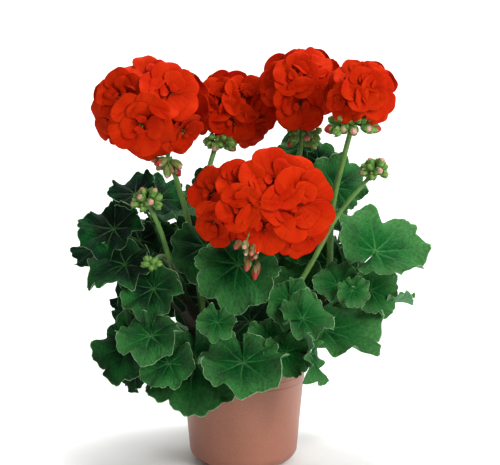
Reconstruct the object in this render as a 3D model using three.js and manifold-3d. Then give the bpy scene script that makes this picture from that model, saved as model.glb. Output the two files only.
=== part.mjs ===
// Potted geranium: a semi-double zonal plant in full flower in a plain 12 cm plastic pot.
// Millimetres, +Z up. The origin is the centre of the pot's underside and the front of the plant faces -Y.
import * as THREE from "three";
import { mergeVertices } from "three/addons/utils/BufferGeometryUtils.js";
import Module from "manifold-3d";

const wasm = await Module();
wasm.setup();

// Driving dimensions
const GAP = 0.35; // clearance between pieces that touch
const TOLERANCE = 0.12; // how far a facet may lie from the shape it stands for
const POT = {
  facets: 28, height: 98, wall: 2, floor: 2.2, holes: 6, holeRadius: 4, holeRing: 31,
  rim: 60.5, band: 9, collar: 7, collarStep: 0.6, neck: 59.2, // the rim and what is under it
  corner: 52.4, cornerHeight: 8.5, heel: 47.5, heelHeight: 3, foot: 42, // the rounded lower edge
};
const SOIL = { top: 86, dome: 3, bump: 1.2 };
const STEM = { radius: 4.2, sides: 5, steps: 4 };
const PETIOLE = { radius: 1.6, sides: 3, steps: 1 };
const STALK = { radius: 2.8, sides: 5, steps: 4 };
const BUD = { length: 9, radius: 3.4, thin: 0.9, sides: 3 };
const LEAF = { thick: 0.8, plain: 37, lobes: 7, lobeDepth: 0.13, back: 0.4, sinus: 165 };
const HEAD = { core: 0.55, spread: 0.74, lean: 0.4 }; // shares of its half sizes, and its florets' lean
const PETAL = { count: 5, broad: 0.25, notch: 0.78, innerRise: 0.22 };

const COLOURS = {
  pot: { color: 0xa9705c, roughness: 0.5, metalness: 0 },
  soil: { color: 0x2e211a, roughness: 0.95, metalness: 0 },
  leaf: { color: 0x2f6b34, roughness: 0.6, metalness: 0 },
  stalk: { color: 0x6d9a45, roughness: 0.6, metalness: 0 },
  petal: { color: 0xd42a08, roughness: 0.55, metalness: 0 },
};

// The leafy stems. Each path runs from the soil to the tip. A leaf is set by the place of its leaf stalk's
// end, its size from there to its tip, the way that its upper face looks (degrees round from the front
// towards the right, and degrees up) and the way that its tip points in the front view (degrees round
// from the right towards the top). The rest bends it: cup, wave, fold and droop.
const STEMS = {
  left: {
    path: [[-19, -3, 60], [-30, -6, 110], [-52, -8, 155], [-74, -6, 205]],
    leaves: [
      { at: [-105, 14, 261], size: 29, face: [-15, 50], tip: 150, wave: 0.2 },
      { at: [-125, -4, 229], size: 38, face: [-20, 46], tip: 252, cup: 0.2 },
      { at: [-144, 20, 208], size: 30, face: [-45, 42], tip: 200 },
      { at: [-101, 10, 216], size: 30, face: [-10, 40], tip: 240 },
      { at: [-112, -34, 200], size: 41, face: [-20, 56], tip: 198, cup: 0.05 },
      { at: [-105, 14, 164], size: 30, face: [-35, 35], tip: 250 },
      { at: [-104, -4, 149], size: 28, face: [-40, 54], tip: 212, wave: 0.16 },
    ],
  },
  frontLeft: {
    path: [[-14, -20, 60], [-24, -38, 100], [-40, -52, 130], [-56, -56, 158]],
    leaves: [
      { at: [-84, -50, 179], size: 37, face: [-12, 42], tip: 252 },
      { at: [-104, -46, 127], size: 46, face: [-45, 36], tip: 240, fold: 0.15 },
      { at: [-85, -78, 139], size: 40, face: [-10, 64], tip: 250 },
      { at: [-100, -50, 102], size: 23, face: [-60, 20], tip: 255 },
      { at: [-67, -98, 124], size: 32, face: [-14, 48], tip: 242 },
      { at: [-45, -80, 117], size: 57, face: [-4, 44], tip: 262, cup: 0.04 },
      { at: [-23, -104, 160], size: 22, face: [0, 50], tip: 245, wave: 0.2 },
    ],
  },
  middle: {
    path: [[-3, -3, 60], [-12, -8, 120], [-24, -12, 175], [-30, -14, 205]],
    leaves: [
      { at: [-36, -28, 216], size: 38, face: [0, 36], tip: 256 },
      { at: [-5, -58, 204], size: 47, face: [2, 30], tip: 262, cup: 0.05 },
      { at: [-87, 46, 251], size: 33, face: [8, 44], tip: 35 },
      { at: [-34, 46, 267], size: 20, face: [0, 15], tip: 90 },
      { at: [6, 16, 133], size: 36, face: [0, 34], tip: 268 },
    ],
  },
  front: {
    path: [[12, -20, 60], [20, -40, 100], [32, -50, 140], [44, -48, 172]],
    leaves: [
      { at: [0, -106, 123], size: 48, face: [2, 64], tip: 262, droop: 0.06 },
      { at: [43, -60, 171], size: 30, face: [14, 38], tip: 272 },
      { at: [23, -70, 137], size: 27, face: [5, 30], tip: 280 },
      { at: [39, -84, 127], size: 28, face: [14, 34], tip: 292 },
      { at: [55, -82, 158], size: 32, face: [12, 54], tip: 8 },
      { at: [62, -90, 126], size: 31, face: [80, 14], tip: 270 },
    ],
  },
  right: {
    path: [[20, 0, 60], [42, -4, 105], [70, -6, 150], [88, -4, 200]],
    leaves: [
      { at: [127, -20, 210], size: 56, face: [20, 50], tip: 35, fold: 0.15 },
      { at: [79, -22, 134], size: 60, face: [12, 62], tip: 4 },
      { at: [124, 4, 167], size: 33, face: [25, 32], tip: 335 },
      { at: [89, -36, 182], size: 29, face: [-10, 46], tip: 120 },
      { at: [101, -46, 177], size: 19, face: [6, 28], tip: 300 },
      { at: [143, 26, 150], size: 30, face: [30, 104], tip: 0, droop: 0 },
      { at: [62, 24, 166], size: 36, face: [-10, 36], tip: 200 },
    ],
  },
  back: {
    path: [[4, 20, 60], [12, 36, 120], [30, 46, 185], [44, 50, 235]],
    leaves: [
      { at: [91, 46, 263], size: 36, face: [12, 12], tip: 80 },
      { at: [75, 58, 287], size: 24, face: [0, 18], tip: 100 },
      { at: [57, 62, 302], size: 26, face: [-20, 32], tip: 160 },
      { at: [19, 44, 184], size: 36, face: [5, 30], tip: 280 },
      { at: [86, 50, 186], size: 32, face: [15, 28], tip: 310 },
      { at: [56, 50, 137], size: 38, face: [10, 22], tip: 290 },
      { at: [96, 26, 225], size: 20, face: [60, 14], tip: 275 },
      { at: [57, 38, 209], size: 24, face: [0, 20], tip: 270 },
      { at: [66, 96, 240], size: 46, face: [150, 48], tip: 30 },
      { at: [18, 106, 205], size: 48, face: [180, 45], tip: 290 },
      { at: [92, 84, 178], size: 46, face: [130, 42], tip: 330 },
      { at: [52, 98, 138], size: 48, face: [165, 32], tip: 290 },
    ],
  },
  backLeft: {
    path: [[-14, 18, 60], [-30, 38, 110], [-46, 50, 160], [-56, 54, 200]],
    leaves: [
      { at: [-68, 34, 196], size: 36, face: [-10, 32], tip: 250 },
      { at: [-78, 42, 160], size: 32, face: [-20, 26], tip: 250 },
      { at: [-38, 28, 154], size: 36, face: [0, 26], tip: 268 },
      { at: [-84, 30, 214], size: 30, face: [-10, 30], tip: 240 },
      { at: [-50, 28, 219], size: 24, face: [-5, 30], tip: 215 },
      { at: [-38, 102, 240], size: 44, face: [-170, 48], tip: 240 },
      { at: [-92, 80, 216], size: 42, face: [-130, 48], tip: 200 },
      { at: [-52, 100, 166], size: 46, face: [-160, 40], tip: 250 },
      { at: [-96, 56, 150], size: 40, face: [-115, 40], tip: 220 },
      { at: [-32, 92, 110], size: 46, face: [-170, 28], tip: 265 },
    ],
  },
};

// The flower stalks. A stalk starts inside its leafy stem. Those with a head end at its hub.
const STALKS = {
  a: { stem: "left", path: [[-37, -7, 130], [-50, -10, 225], [-62, -18, 275], [-80, -24, 330]] },
  b: { stem: "middle", path: [[-24, -12, 178], [-40, 8, 232], [-33, 40, 286], [-14, 60, 336]] },
  c: { stem: "back", path: [[36, 48, 208], [50, 40, 270], [58, 34, 322], [55, 28, 359]] },
  d: { stem: "middle", path: [[-22, -12, 168], [-10, -18, 212], [4, -36, 243], [18, -66, 256]] },
  e: { stem: "right", path: [[83, -5, 185], [85, -22, 255], [94, -30, 300], [105, -33, 344]] },
  budsLeft: { stem: "left", path: [[-60, -7, 172], [-69, -36, 204], [-77, -50, 236], [-88, -54, 262]] },
  budsSmall: { stem: "left", path: [[-71, -6, 198], [-77, -30, 207], [-82, -50, 207], [-86, -60, 204]] },
  budsRight: { stem: "front", path: [[43, -48, 168], [64, -42, 202], [89, -36, 247], [124, -22, 287]] },
};

// The flower heads. Florets are placed by their share of the head's half width and half height, as seen
// from the front, and lie on its near side or on its far side. A third number makes one larger or smaller.
const HEADS = {
  a: {
    at: [-87, -25, 345], half: [58, 46, 50], floret: 29,
    near: [[-0.15, -0.31, 1.08], [0.48, 0.5], [0.74, -0.6, 0.8], [-0.92, -0.2, 0.85], [-0.62, 0.45, 0.85],
      [-0.06, 0.92, 0.8], [-0.02, -0.9, 0.75]],
    far: [[0.75, 0.3], [-0.65, 0.2], [0.1, -0.1]],
  },
  b: {
    at: [-10, 62, 338], half: [42, 34, 42], floret: 26,
    near: [[-0.45, 0.42, 0.9], [0.4, 0.45, 0.95], [0, -0.3, 0.9], [0.9, -0.1, 0.85], [-0.88, -0.1, 0.8],
      [0.65, -0.7, 0.75]],
    far: [[-0.2, 0.6], [0.6, 0.3], [0.1, -0.3]],
  },
  c: {
    at: [55, 28, 360], half: [42, 37, 42], floret: 27,
    near: [[0, -0.42, 1.02], [0.36, 0.86, 0.75], [-0.72, 0.2, 0.85], [0.78, 0, 0.85], [-0.15, 0.5, 0.85]],
    far: [[-0.3, 0.45], [0.5, 0.5], [-0.1, -0.3]],
  },
  d: {
    at: [17, -70, 260], half: [74, 46, 58], floret: 31,
    near: [[0.6, 0.14, 1.12], [0.2, 0.66], [0.04, -0.34, 0.88], [0.7, -0.58, 0.85], [-0.86, 0.36, 0.8],
      [-0.76, -0.32, 0.75], [-0.34, 0.58, 0.75], [0.7, 0.68, 0.75], [-0.36, 0.06, 0.72]],
    far: [[0.5, 0.2], [-0.45, 0.2]],
  },
  e: {
    at: [108, -34, 359], half: [33, 32, 34], floret: 24,
    near: [[-0.3, 0.76, 0.75], [0.6, 0, 0.9], [-0.55, -0.2, 0.85], [0.72, -0.6, 0.7], [0.1, 0.25, 0.9],
      [0.6, 0.66, 0.75]],
    far: [[0.6, 0.3], [-0.4, 0.1]],
  },
};

// Buds: how many hang or stand round the end of each stalk, how far out and how steeply they hang. Those of
// a head sit a little below its middle and fan out round one side: degrees round from the right.
const BUDS = {
  a: { count: 6, reach: 20, hang: 50, below: 32, side: 250, fan: 280 },
  b: { count: 8, reach: 21, hang: 30, below: 27, side: 300, fan: 260 },
  c: { count: 8, reach: 24, hang: 40, below: 38, side: 270, fan: 360 },
  d: { count: 8, reach: 66, hang: 44, below: 10, side: 258, fan: 24 },
  e: { count: 12, reach: 27, hang: 9, below: 13, side: 260, fan: 320 },
  budsLeft: { count: 12, reach: 18, hang: -35, below: 0, side: 0, fan: 360 },
  budsSmall: { count: 8, reach: 11, hang: -35, below: 0, side: 0, fan: 360, scale: 0.7 },
  budsRight: { count: 12, reach: 17, hang: -35, below: 0, side: 0, fan: 360 },
};

const radians = THREE.MathUtils.degToRad;
const vector = (p) => new THREE.Vector3(...p);
const chance = (n) => {
  const s = Math.sin(n * 12.9898) * 43758.5453;
  return s - Math.floor(s);
};

// Turns a closed three.js geometry into a manifold solid, with its faces pointing out.
function solidOf(geometry) {
  const g = geometry.clone();
  g.deleteAttribute("normal");
  g.deleteAttribute("uv");
  const merged = mergeVertices(g, 1e-4);
  const triVerts = new Uint32Array(merged.index.array);
  const make = () => new wasm.Manifold(new wasm.Mesh({
    numProp: 3,
    vertProperties: new Float32Array(merged.attributes.position.array),
    triVerts,
  }));
  const first = make();
  if (first.volume() > 0) return first;
  for (let i = 0; i < triVerts.length; i += 3) {
    [triVerts[i + 1], triVerts[i + 2]] = [triVerts[i + 2], triVerts[i + 1]];
  }
  return make();
}

// A solid as a named mesh. Scraps that a cut has left loose are dropped.
function meshOf(name, solid, look) {
  const main = solid.simplify(TOLERANCE).decompose().reduce((a, b) => (b.volume() > a.volume() ? b : a));
  const { vertProperties, triVerts } = main.getMesh();
  const geometry = new THREE.BufferGeometry();
  geometry.setAttribute("position", new THREE.BufferAttribute(vertProperties, 3));
  geometry.setIndex(new THREE.BufferAttribute(triVerts, 1));
  geometry.computeVertexNormals();
  const mesh = new THREE.Mesh(geometry, new THREE.MeshStandardMaterial(look));
  mesh.name = name;
  return mesh;
}

// A round bar along a path, grown by extra all round and past its end.
function bar(points, { radius, sides, steps }, extra = 0) {
  const path = points.map(vector);
  if (extra) {
    const last = path.at(-1);
    last.addScaledVector(last.clone().sub(path.at(-2)).normalize(), extra);
  }
  const section = new THREE.Shape();
  for (let i = 0; i < sides; i++) {
    const a = (2 * Math.PI * i) / sides;
    section[i ? "lineTo" : "moveTo"]((radius + extra) * Math.cos(a), (radius + extra) * Math.sin(a));
  }
  section.closePath();
  const curve = path.length === 2 ? new THREE.LineCurve3(...path) : new THREE.CatmullRomCurve3(path);
  return solidOf(new THREE.ExtrudeGeometry(section, { steps, bevelEnabled: false, extrudePath: curve }));
}

// A thin solid under a sheet of triangles, thickened along the sheet's own normals.
function sheet(points, faces, thick) {
  const normals = points.map(() => new THREE.Vector3());
  for (const [a, b, c] of faces) {
    const n = points[b].clone().sub(points[a]).cross(points[c].clone().sub(points[a]));
    for (const i of [a, b, c]) normals[i].add(n);
  }
  const under = points.map((p, i) => p.clone().addScaledVector(normals[i].normalize(), -thick));
  const shift = points.length;
  const triangles = [...faces, ...faces.map(([a, b, c]) => [a + shift, c + shift, b + shift])];
  const edges = new Set(faces.flatMap(([a, b, c]) => [`${a} ${b}`, `${b} ${c}`, `${c} ${a}`]));
  for (const edge of edges) {
    const [a, b] = edge.split(" ").map(Number);
    if (!edges.has(`${b} ${a}`)) triangles.push([b, a, a + shift], [b, a + shift, b + shift]);
  }
  const geometry = new THREE.BufferGeometry().setFromPoints([...points, ...under]);
  geometry.setIndex(triangles.flat());
  return solidOf(geometry);
}

// Triangles between two rows of points that run round at rising angles.
function zip(inner, outer) {
  const faces = [];
  let i = 0;
  let j = 0;
  while (i < inner.length - 1 || j < outer.length - 1) {
    const nextIn = i < inner.length - 1 ? inner[i + 1].angle : Infinity;
    const nextOut = j < outer.length - 1 ? outer[j + 1].angle : Infinity;
    if (nextOut <= nextIn) {
      faces.push([inner[i].index, outer[j].index, outer[j + 1].index]);
      j += 1;
    } else {
      faces.push([inner[i].index, outer[j].index, inner[i + 1].index]);
      i += 1;
    }
  }
  return faces;
}

// How far a leaf's edge lies from its leaf stalk at an angle from the tip, as a share of its size.
function leafReach(degrees) {
  const body = 1 - LEAF.back * Math.abs(degrees / 180) ** 1.6;
  const notch = ((1 - Math.cos(radians((degrees * 360) / 45))) / 2) ** 1.5;
  return body * (1 - LEAF.lobeDepth * notch);
}

// The height of a leaf's upper face over its leaf stalk's end, as a share of its size.
function leafRise(share, degrees, { cup, wave, fold, droop, phase }) {
  const a = radians(degrees);
  const waves = wave * (Math.sin(3 * a + phase) + 0.6 * Math.sin(5 * a + 2 * phase));
  const fall = droop * Math.max(0, Math.cos(a)) ** 2;
  return cup * share ** 2 + fold * share * Math.abs(Math.sin(a)) + (waves - fall) * share ** 2.4;
}

// The place and turn of a leaf: x to its tip, z out of its upper face.
function leafFrame({ at, face, tip }) {
  const [round, up] = face.map(radians);
  const level = Math.cos(up);
  const normal = new THREE.Vector3(level * Math.sin(round), -level * Math.cos(round), Math.sin(up));
  const [across, rise] = [Math.cos(radians(tip)), Math.sin(radians(tip))];
  const depth = -(normal.x * across + normal.z * rise) / normal.y;
  const ahead = new THREE.Vector3(across, depth, rise).normalize();
  const side = new THREE.Vector3().crossVectors(normal, ahead);
  return { matrix: new THREE.Matrix4().makeBasis(ahead, side, normal).setPosition(...at), normal, ahead };
}

function leafBlade(leaf, matrix) {
  const point = (share, degrees) => {
    const r = leaf.size * share * leafReach(degrees);
    const a = radians(degrees);
    return new THREE.Vector3(r * Math.cos(a), r * Math.sin(a), leaf.size * leafRise(share, degrees, leaf));
  };
  const points = [new THREE.Vector3()];
  const row = (share, angles) => angles.map((angle) => {
    return { angle, index: points.push(point(share, angle)) - 1 };
  });
  const half = (LEAF.lobes - 1) / 2;
  const inner = [-LEAF.sinus, -80, 0, 80, LEAF.sinus];
  const outer = [-LEAF.sinus, LEAF.sinus];
  for (let lobe = -half; lobe <= half; lobe++) {
    outer.push(lobe * 45);
    if (lobe < half && leaf.size > LEAF.plain) outer.push(lobe * 45 + 22.5);
  }
  const byAngle = (a, b) => a - b;
  const rim = row(1, outer.sort(byAngle));
  const ring = leaf.size > LEAF.plain ? row(0.55, inner) : rim;
  const faces = ring === rim ? [] : zip(ring, rim);
  for (let i = 1; i < ring.length; i++) faces.push([0, ring[i - 1].index, ring[i].index]);
  return sheet(points.map((p) => p.applyMatrix4(matrix)), faces, LEAF.thick);
}

// The leaf stalk, from the stem's axis up to the underside of the blade.
function petiole(leaf, { normal, ahead }, stem, lowest) {
  const end = vector(leaf.at);
  const rise = Math.max(lowest, end.z - 0.4 * Math.hypot(end.x, end.y));
  const spots = stem.getSpacedPoints(40);
  const start = spots.reduce((a, b) => (Math.abs(b.z - rise) < Math.abs(a.z - rise) ? b : a));
  const length = end.distanceTo(start);
  const arrive = normal.clone().multiplyScalar(0.7).addScaledVector(ahead, 0.5).normalize();
  const leave = end.clone().sub(start).multiplyScalar(0.35).add(new THREE.Vector3(0, 0, 0.1 * length));
  const curve = new THREE.CubicBezierCurve3(
    start,
    start.clone().add(leave),
    end.clone().addScaledVector(arrive, -0.35 * length),
    end.clone().addScaledVector(arrive, -0.2),
  );
  const { radius, sides, steps } = PETIOLE;
  const section = new THREE.Shape();
  for (let i = 0; i < sides; i++) {
    const a = (2 * Math.PI * i) / sides;
    section[i ? "lineTo" : "moveTo"](radius * Math.cos(a), radius * Math.sin(a));
  }
  section.closePath();
  return solidOf(new THREE.ExtrudeGeometry(section, { steps, bevelEnabled: false, extrudePath: curve }));
}

function leafyStem(spec, seed) {
  const axis = new THREE.CatmullRomCurve3(spec.path.map(vector));
  const parts = [bar(spec.path, STEM)];
  spec.leaves.forEach((given, i) => {
    const phase = 2 * Math.PI * chance(seed * 10 + i);
    const leaf = { cup: 0.1, wave: 0.17, fold: 0, droop: 0.17, phase, ...given };
    const frame = leafFrame(leaf);
    const lowest = SOIL.top + 8 + 6 * (spec.leaves.length - i);
    parts.push(leafBlade(leaf, frame.matrix), petiole(leaf, frame, axis, lowest));
  });
  return wasm.Manifold.union(parts);
}

// One floret at the origin, opening along +Z: a dish of broad petals round a raised inner whorl. Below its
// rim it narrows to a root, which sinks in its neighbours. Far ones have plainer petals and no whorl.
function floret(size, seed, root, near) {
  const each = 360 / PETAL.count;
  const twist = each * chance(seed);
  const rim = 0.08 + 0.12 * chance(seed + 1);
  const point = (share, degrees, height) => {
    const a = radians(degrees + twist);
    const wave = 0.07 * Math.sin(2 * a + twist) * share ** 2;
    return new THREE.Vector3(share * Math.cos(a), share * Math.sin(a), height + wave).multiplyScalar(size);
  };
  const crest = near && size > 28 ? [-PETAL.broad, PETAL.broad] : [0];
  const petals = Array.from({ length: PETAL.count }, (_, k) => k);
  const edge = petals.flatMap((k) => [[PETAL.notch, k - 0.5], ...crest.map((c) => [1, k + c])]);
  const points = [point(0, 0, -0.2), new THREE.Vector3(0, 0, -size * root)];
  const row = (spots, height) => spots.map(([share, turn]) => ({
    angle: turn * each,
    index: points.push(point(share, turn * each, height)) - 1,
  }));
  const around = (list) => [...list, { angle: list[0].angle + 360, index: list[0].index }];
  const brim = around(row(edge, rim));
  const dish = near ? around(row(petals.map((k) => [0.42, k]), -0.12)) : brim;
  const faces = near ? zip(dish, brim) : [];
  for (let i = 0; i < edge.length; i++) faces.push([brim[i].index, 1, brim[i + 1].index]);
  const inner = near ? around(row(petals.map((k) => [0.36, k]), PETAL.innerRise)) : dish;
  if (near) faces.push(...zip(inner, dish));
  for (let i = 1; i < inner.length; i++) faces.push([0, inner[i - 1].index, inner[i].index]);
  const geometry = new THREE.BufferGeometry().setFromPoints(points);
  geometry.setIndex(faces.flat());
  return solidOf(geometry);
}

// Where a floret's eye sits, and the way that it opens.
function floretFrame(head, [across, up], side) {
  const near = Math.sqrt(Math.max(0, 1 - across ** 2 - up ** 2));
  const direction = new THREE.Vector3(across, side * near, up).normalize();
  const half = vector(head.half);
  const place = direction.clone().multiply(half).multiplyScalar(HEAD.spread).add(vector(head.at));
  const open = direction.clone().divide(half).normalize();
  open.y += HEAD.lean * side;
  open.normalize();
  const turn = new THREE.Quaternion().setFromUnitVectors(new THREE.Vector3(0, 0, 1), open);
  return new THREE.Matrix4().compose(place, turn, new THREE.Vector3(1, 1, 1));
}

function flowerHead(head, seed) {
  const core = new THREE.IcosahedronGeometry(1, 0).scale(...head.half.map((h) => HEAD.core * h));
  const parts = [solidOf(core.translate(...head.at))];
  const places = [...head.near.map((spot) => [spot, -1]), ...head.far.map((spot) => [spot, 1])];
  places.forEach(([[across, up, grow = 1], side], i) => {
    const matrix = floretFrame(head, [across, up], side);
    const place = new THREE.Vector3().setFromMatrixPosition(matrix);
    const size = grow * head.floret;
    const root = (1.1 * place.distanceTo(vector(head.at))) / size;
    parts.push(floret(size, seed * 20 + i, root, side < 0).transform(matrix.elements));
  });
  return wasm.Manifold.union(parts);
}

// One bud on its own thin stalk, in one piece from the root to the tip.
function bud(root, tip, scale, extra) {
  const whole = root.distanceTo(tip) + extra;
  const [length, radius] = [scale * BUD.length, scale * BUD.radius];
  const [thin, broad] = [BUD.thin + extra, radius + extra];
  const outline = [[0, 0], [thin, 0], [thin, whole - length], [broad, whole - 0.6 * length], [0, whole]];
  const points = outline.map(([r, z]) => new THREE.Vector2(r, z));
  const body = new THREE.LatheGeometry(points, BUD.sides).rotateX(Math.PI / 2);
  const way = tip.clone().sub(root).normalize();
  body.applyQuaternion(new THREE.Quaternion().setFromUnitVectors(new THREE.Vector3(0, 0, 1), way));
  return solidOf(body.translate(...root));
}

// A flower stalk with its buds, all one green body. Extra grows it, to cut its clearance in its neighbours.
function flowerStalk(name, extra = 0) {
  const { path } = STALKS[name];
  const { count, reach, hang, below, side, fan, scale = 1 } = BUDS[name];
  const parts = [bar(path, STALK, extra)];
  const end = vector(path.at(-1));
  const down = end.clone().sub(vector(path.at(-2))).normalize();
  const hub = end.clone().addScaledVector(down, -below);
  for (let i = 0; i < count; i++) {
    const round = radians(side + fan * (((i * 137.5) / 360) % 1 - 0.5));
    const standing = 90 + 3.2 * hang * Math.sqrt((i + 0.5) / count);
    const hanging = -hang * (0.2 + 1.2 * chance(i + count));
    const lift = radians(hang < 0 ? standing : hanging);
    const far = reach * (0.75 + 0.25 * chance(2.7 * i + count));
    const level = Math.cos(lift);
    const out = new THREE.Vector3(Math.cos(round) * level, Math.sin(round) * level, Math.sin(lift));
    parts.push(bud(hub, hub.clone().addScaledVector(out, far), scale, extra));
  }
  return wasm.Manifold.union(parts);
}

// The pot, turned from its outline: up its outside from the centre of its underside, and down its inside.
function potSolid() {
  const { height, rim, band, neck, corner, cornerHeight, foot, wall, floor } = POT;
  const [under, low, ring] = [height - band, height - band - POT.collar, neck + POT.collarStep];
  const outside = [
    [0, 0], [foot, 0], [POT.heel, POT.heelHeight], [corner, cornerHeight], [neck, low],
    [ring, low], [ring, under], [rim, under], [rim, height],
  ];
  const inside = [
    [rim - wall, height], [rim - wall, under], [corner - wall, cornerHeight], [foot, floor], [0, floor],
  ];
  const outline = [...outside, ...inside].map(([r, z]) => new THREE.Vector2(r, z));
  let pot = solidOf(new THREE.LatheGeometry(outline, POT.facets).rotateX(Math.PI / 2));
  for (let i = 0; i < POT.holes; i++) {
    const hole = new THREE.CylinderGeometry(POT.holeRadius, POT.holeRadius, 4 * floor, 8);
    const round = (2 * Math.PI * i) / POT.holes;
    pot = pot.subtract(solidOf(hole.rotateX(Math.PI / 2).translate(POT.holeRing, 0, 0).rotateZ(round)));
  }
  return pot;
}

// Potting soil that fills the pot, with a lumpy top and a plain hole for each stem.
function soilSolid() {
  const { height, rim, band, corner, cornerHeight, foot, wall, floor } = POT;
  const clear = GAP + 0.25;
  const slope = (rim - corner) / (height - band - cornerHeight);
  const outline = [
    [0, floor + GAP], [foot - clear, floor + GAP], [corner - wall - clear, cornerHeight],
    [corner - wall - clear + slope * (SOIL.top - cornerHeight), SOIL.top],
    [34, SOIL.top + SOIL.dome * 0.6], [16, SOIL.top + SOIL.dome], [0, SOIL.top + SOIL.dome],
  ];
  const points = outline.map(([r, z]) => new THREE.Vector2(r, z));
  const body = new THREE.LatheGeometry(points, POT.facets / 2).rotateX(Math.PI / 2);
  const place = body.attributes.position;
  for (let i = 0; i < place.count; i++) {
    const [x, y, z] = [place.getX(i), place.getY(i), place.getZ(i)];
    if (z > SOIL.top + 1) place.setZ(i, z + SOIL.bump * Math.sin(0.31 * x + 1) * Math.cos(0.27 * y));
  }
  return Object.values(STEMS).reduce((soil, { path }) => soil.subtract(stemFoot(path)), solidOf(body));
}

// The hole for a stem, which follows its foot a gap wider all round.
function stemFoot(path) {
  const axis = new THREE.CatmullRomCurve3(path.map(vector)).getSpacedPoints(48);
  const buried = axis.filter((p) => p.z < SOIL.top + 12);
  const low = axis[0].clone().add(axis[0].clone().sub(axis[1]).setLength(GAP));
  const points = [low, buried[4], buried[Math.floor(buried.length / 2)], buried.at(-1)];
  return bar(points.map((p) => p.toArray()), { ...STEM, steps: 3, radius: STEM.radius + 0.7 });
}

const plant = new THREE.Group();
plant.add(meshOf("pot", potSolid(), COLOURS.pot));
plant.add(meshOf("soil", soilSolid(), COLOURS.soil));
const stems = {};
Object.entries(STEMS).forEach(([name, spec], i) => {
  stems[name] = leafyStem(spec, i + 1);
  plant.add(meshOf(`stem_${name}`, stems[name], COLOURS.leaf));
});
Object.entries(STALKS).forEach(([name, spec]) => {
  const seat = bar(STEMS[spec.stem].path, STEM, GAP);
  plant.add(meshOf(`stalk_${name}`, flowerStalk(name).subtract(seat), COLOURS.stalk));
});
Object.entries(HEADS).forEach(([name, head], i) => {
  const clearance = flowerStalk(name, GAP);
  plant.add(meshOf(`head_${name}`, flowerHead(head, i + 1).subtract(clearance), COLOURS.petal));
});

export default plant;
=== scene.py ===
import math

import bpy
import numpy as np
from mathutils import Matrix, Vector


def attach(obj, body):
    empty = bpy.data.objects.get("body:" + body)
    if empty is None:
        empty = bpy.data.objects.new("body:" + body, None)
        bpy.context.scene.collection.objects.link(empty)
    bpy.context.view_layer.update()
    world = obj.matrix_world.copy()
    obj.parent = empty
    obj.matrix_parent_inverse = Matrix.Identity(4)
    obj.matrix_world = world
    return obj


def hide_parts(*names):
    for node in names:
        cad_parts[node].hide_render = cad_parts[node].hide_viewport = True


# A zonal geranium in full flower in a plain plastic pot. Sizes and places are in millimetres, in the same
# frame as the solids, and are turned to metres as each mesh is made. The front of the plant faces -Y.
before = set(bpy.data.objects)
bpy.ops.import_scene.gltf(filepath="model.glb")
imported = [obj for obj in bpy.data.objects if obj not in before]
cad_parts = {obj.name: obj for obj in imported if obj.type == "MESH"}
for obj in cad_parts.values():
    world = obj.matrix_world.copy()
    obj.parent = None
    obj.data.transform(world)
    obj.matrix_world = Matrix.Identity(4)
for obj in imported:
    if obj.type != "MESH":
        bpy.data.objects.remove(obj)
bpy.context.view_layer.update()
metre = 0.001  # of a millimetre

bpy.context.scene.view_settings.view_transform = "Standard"
bpy.context.scene.view_settings.look = "None"

# Camera, lights and floor
view = {"target": (6.5, 0, 225), "distance": 1350, "elevation": 9, "lens": 100.7}
studio = {
    "sky": 0.18,
    "floor": 0.9,
    "lights": [  # place and target in metres, watts, size in metres
        {"name": "key", "at": (1.1, -1.2, 1.25), "to": (0, 0, 0.24), "power": 35, "size": 0.95},
        {"name": "fill", "at": (-1.3, -1.4, 0.5), "to": (0, 0, 0.24), "power": 2.5, "size": 1.0},
        {"name": "top", "at": (0.2, 0.2, 1.6), "to": (0, 0, 0.24), "power": 13, "size": 0.7},
        {"name": "back", "at": (0, 0.9, 2.3), "to": (0, 2.0, 0.6), "power": 60, "size": 1.6},
    ],
}


def addObject(name, data):
    thing = bpy.data.objects.new(name, data)
    bpy.context.scene.collection.objects.link(thing)
    return thing


def aimAt(thing, target):
    way = Vector(target) - thing.location
    thing.rotation_mode = "QUATERNION"
    thing.rotation_quaternion = way.to_track_quat("-Z", "Y")


def addCamera():
    rise = math.radians(view["elevation"])
    target = Vector(view["target"]) * metre
    back = Vector((0, -math.cos(rise), math.sin(rise))) * view["distance"] * metre
    camera = addObject("camera", bpy.data.cameras.new("camera"))
    camera.data.lens = view["lens"]
    camera.data.clip_end = 20
    camera.location = target + back
    aimAt(camera, target)
    bpy.context.scene.camera = camera


def addLights():
    world = bpy.data.worlds.new("studio")
    world.use_nodes = True
    sky = world.node_tree.nodes["Background"]
    sky.inputs["Color"].default_value = (1, 1, 1, 1)
    sky.inputs["Strength"].default_value = studio["sky"]
    bpy.context.scene.world = world
    for plan in studio["lights"]:
        lamp = bpy.data.lights.new(plan["name"], "AREA")
        lamp.energy = plan["power"]
        lamp.size = plan["size"]
        holder = addObject(plan["name"], lamp)
        holder.location = plan["at"]
        aimAt(holder, plan["to"])


# Small tools for materials
def tone(red, green, blue):
    def linear(level):
        share = level / 255
        return share / 12.92 if share <= 0.04045 else ((share + 0.055) / 1.055) ** 2.4

    return (linear(red), linear(green), linear(blue), 1.0)


def tones(colours):
    return {name: tone(*colour) for name, colour in colours.items()}


def newMaterial(name, **finish):
    material = bpy.data.materials.new(name)
    material.use_nodes = True
    tree = material.node_tree
    shader = tree.nodes["Principled BSDF"]
    for socket, value in finish.items():
        shader.inputs[socket.replace("_", " ")].default_value = value
    return material, tree, shader


def addNode(tree, kind, inputs, **settings):
    node = tree.nodes.new(kind)
    for name, value in settings.items():
        setattr(node, name, value)
    for key, value in inputs.items():
        if isinstance(value, bpy.types.NodeSocket):
            tree.links.new(value, node.inputs[key])
        else:
            node.inputs[key].default_value = value
    return node


# The tools below work in the tree of the sockets that they are given.
def treeOf(*values):
    return next(value.id_data for value in values if isinstance(value, bpy.types.NodeSocket))


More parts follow.
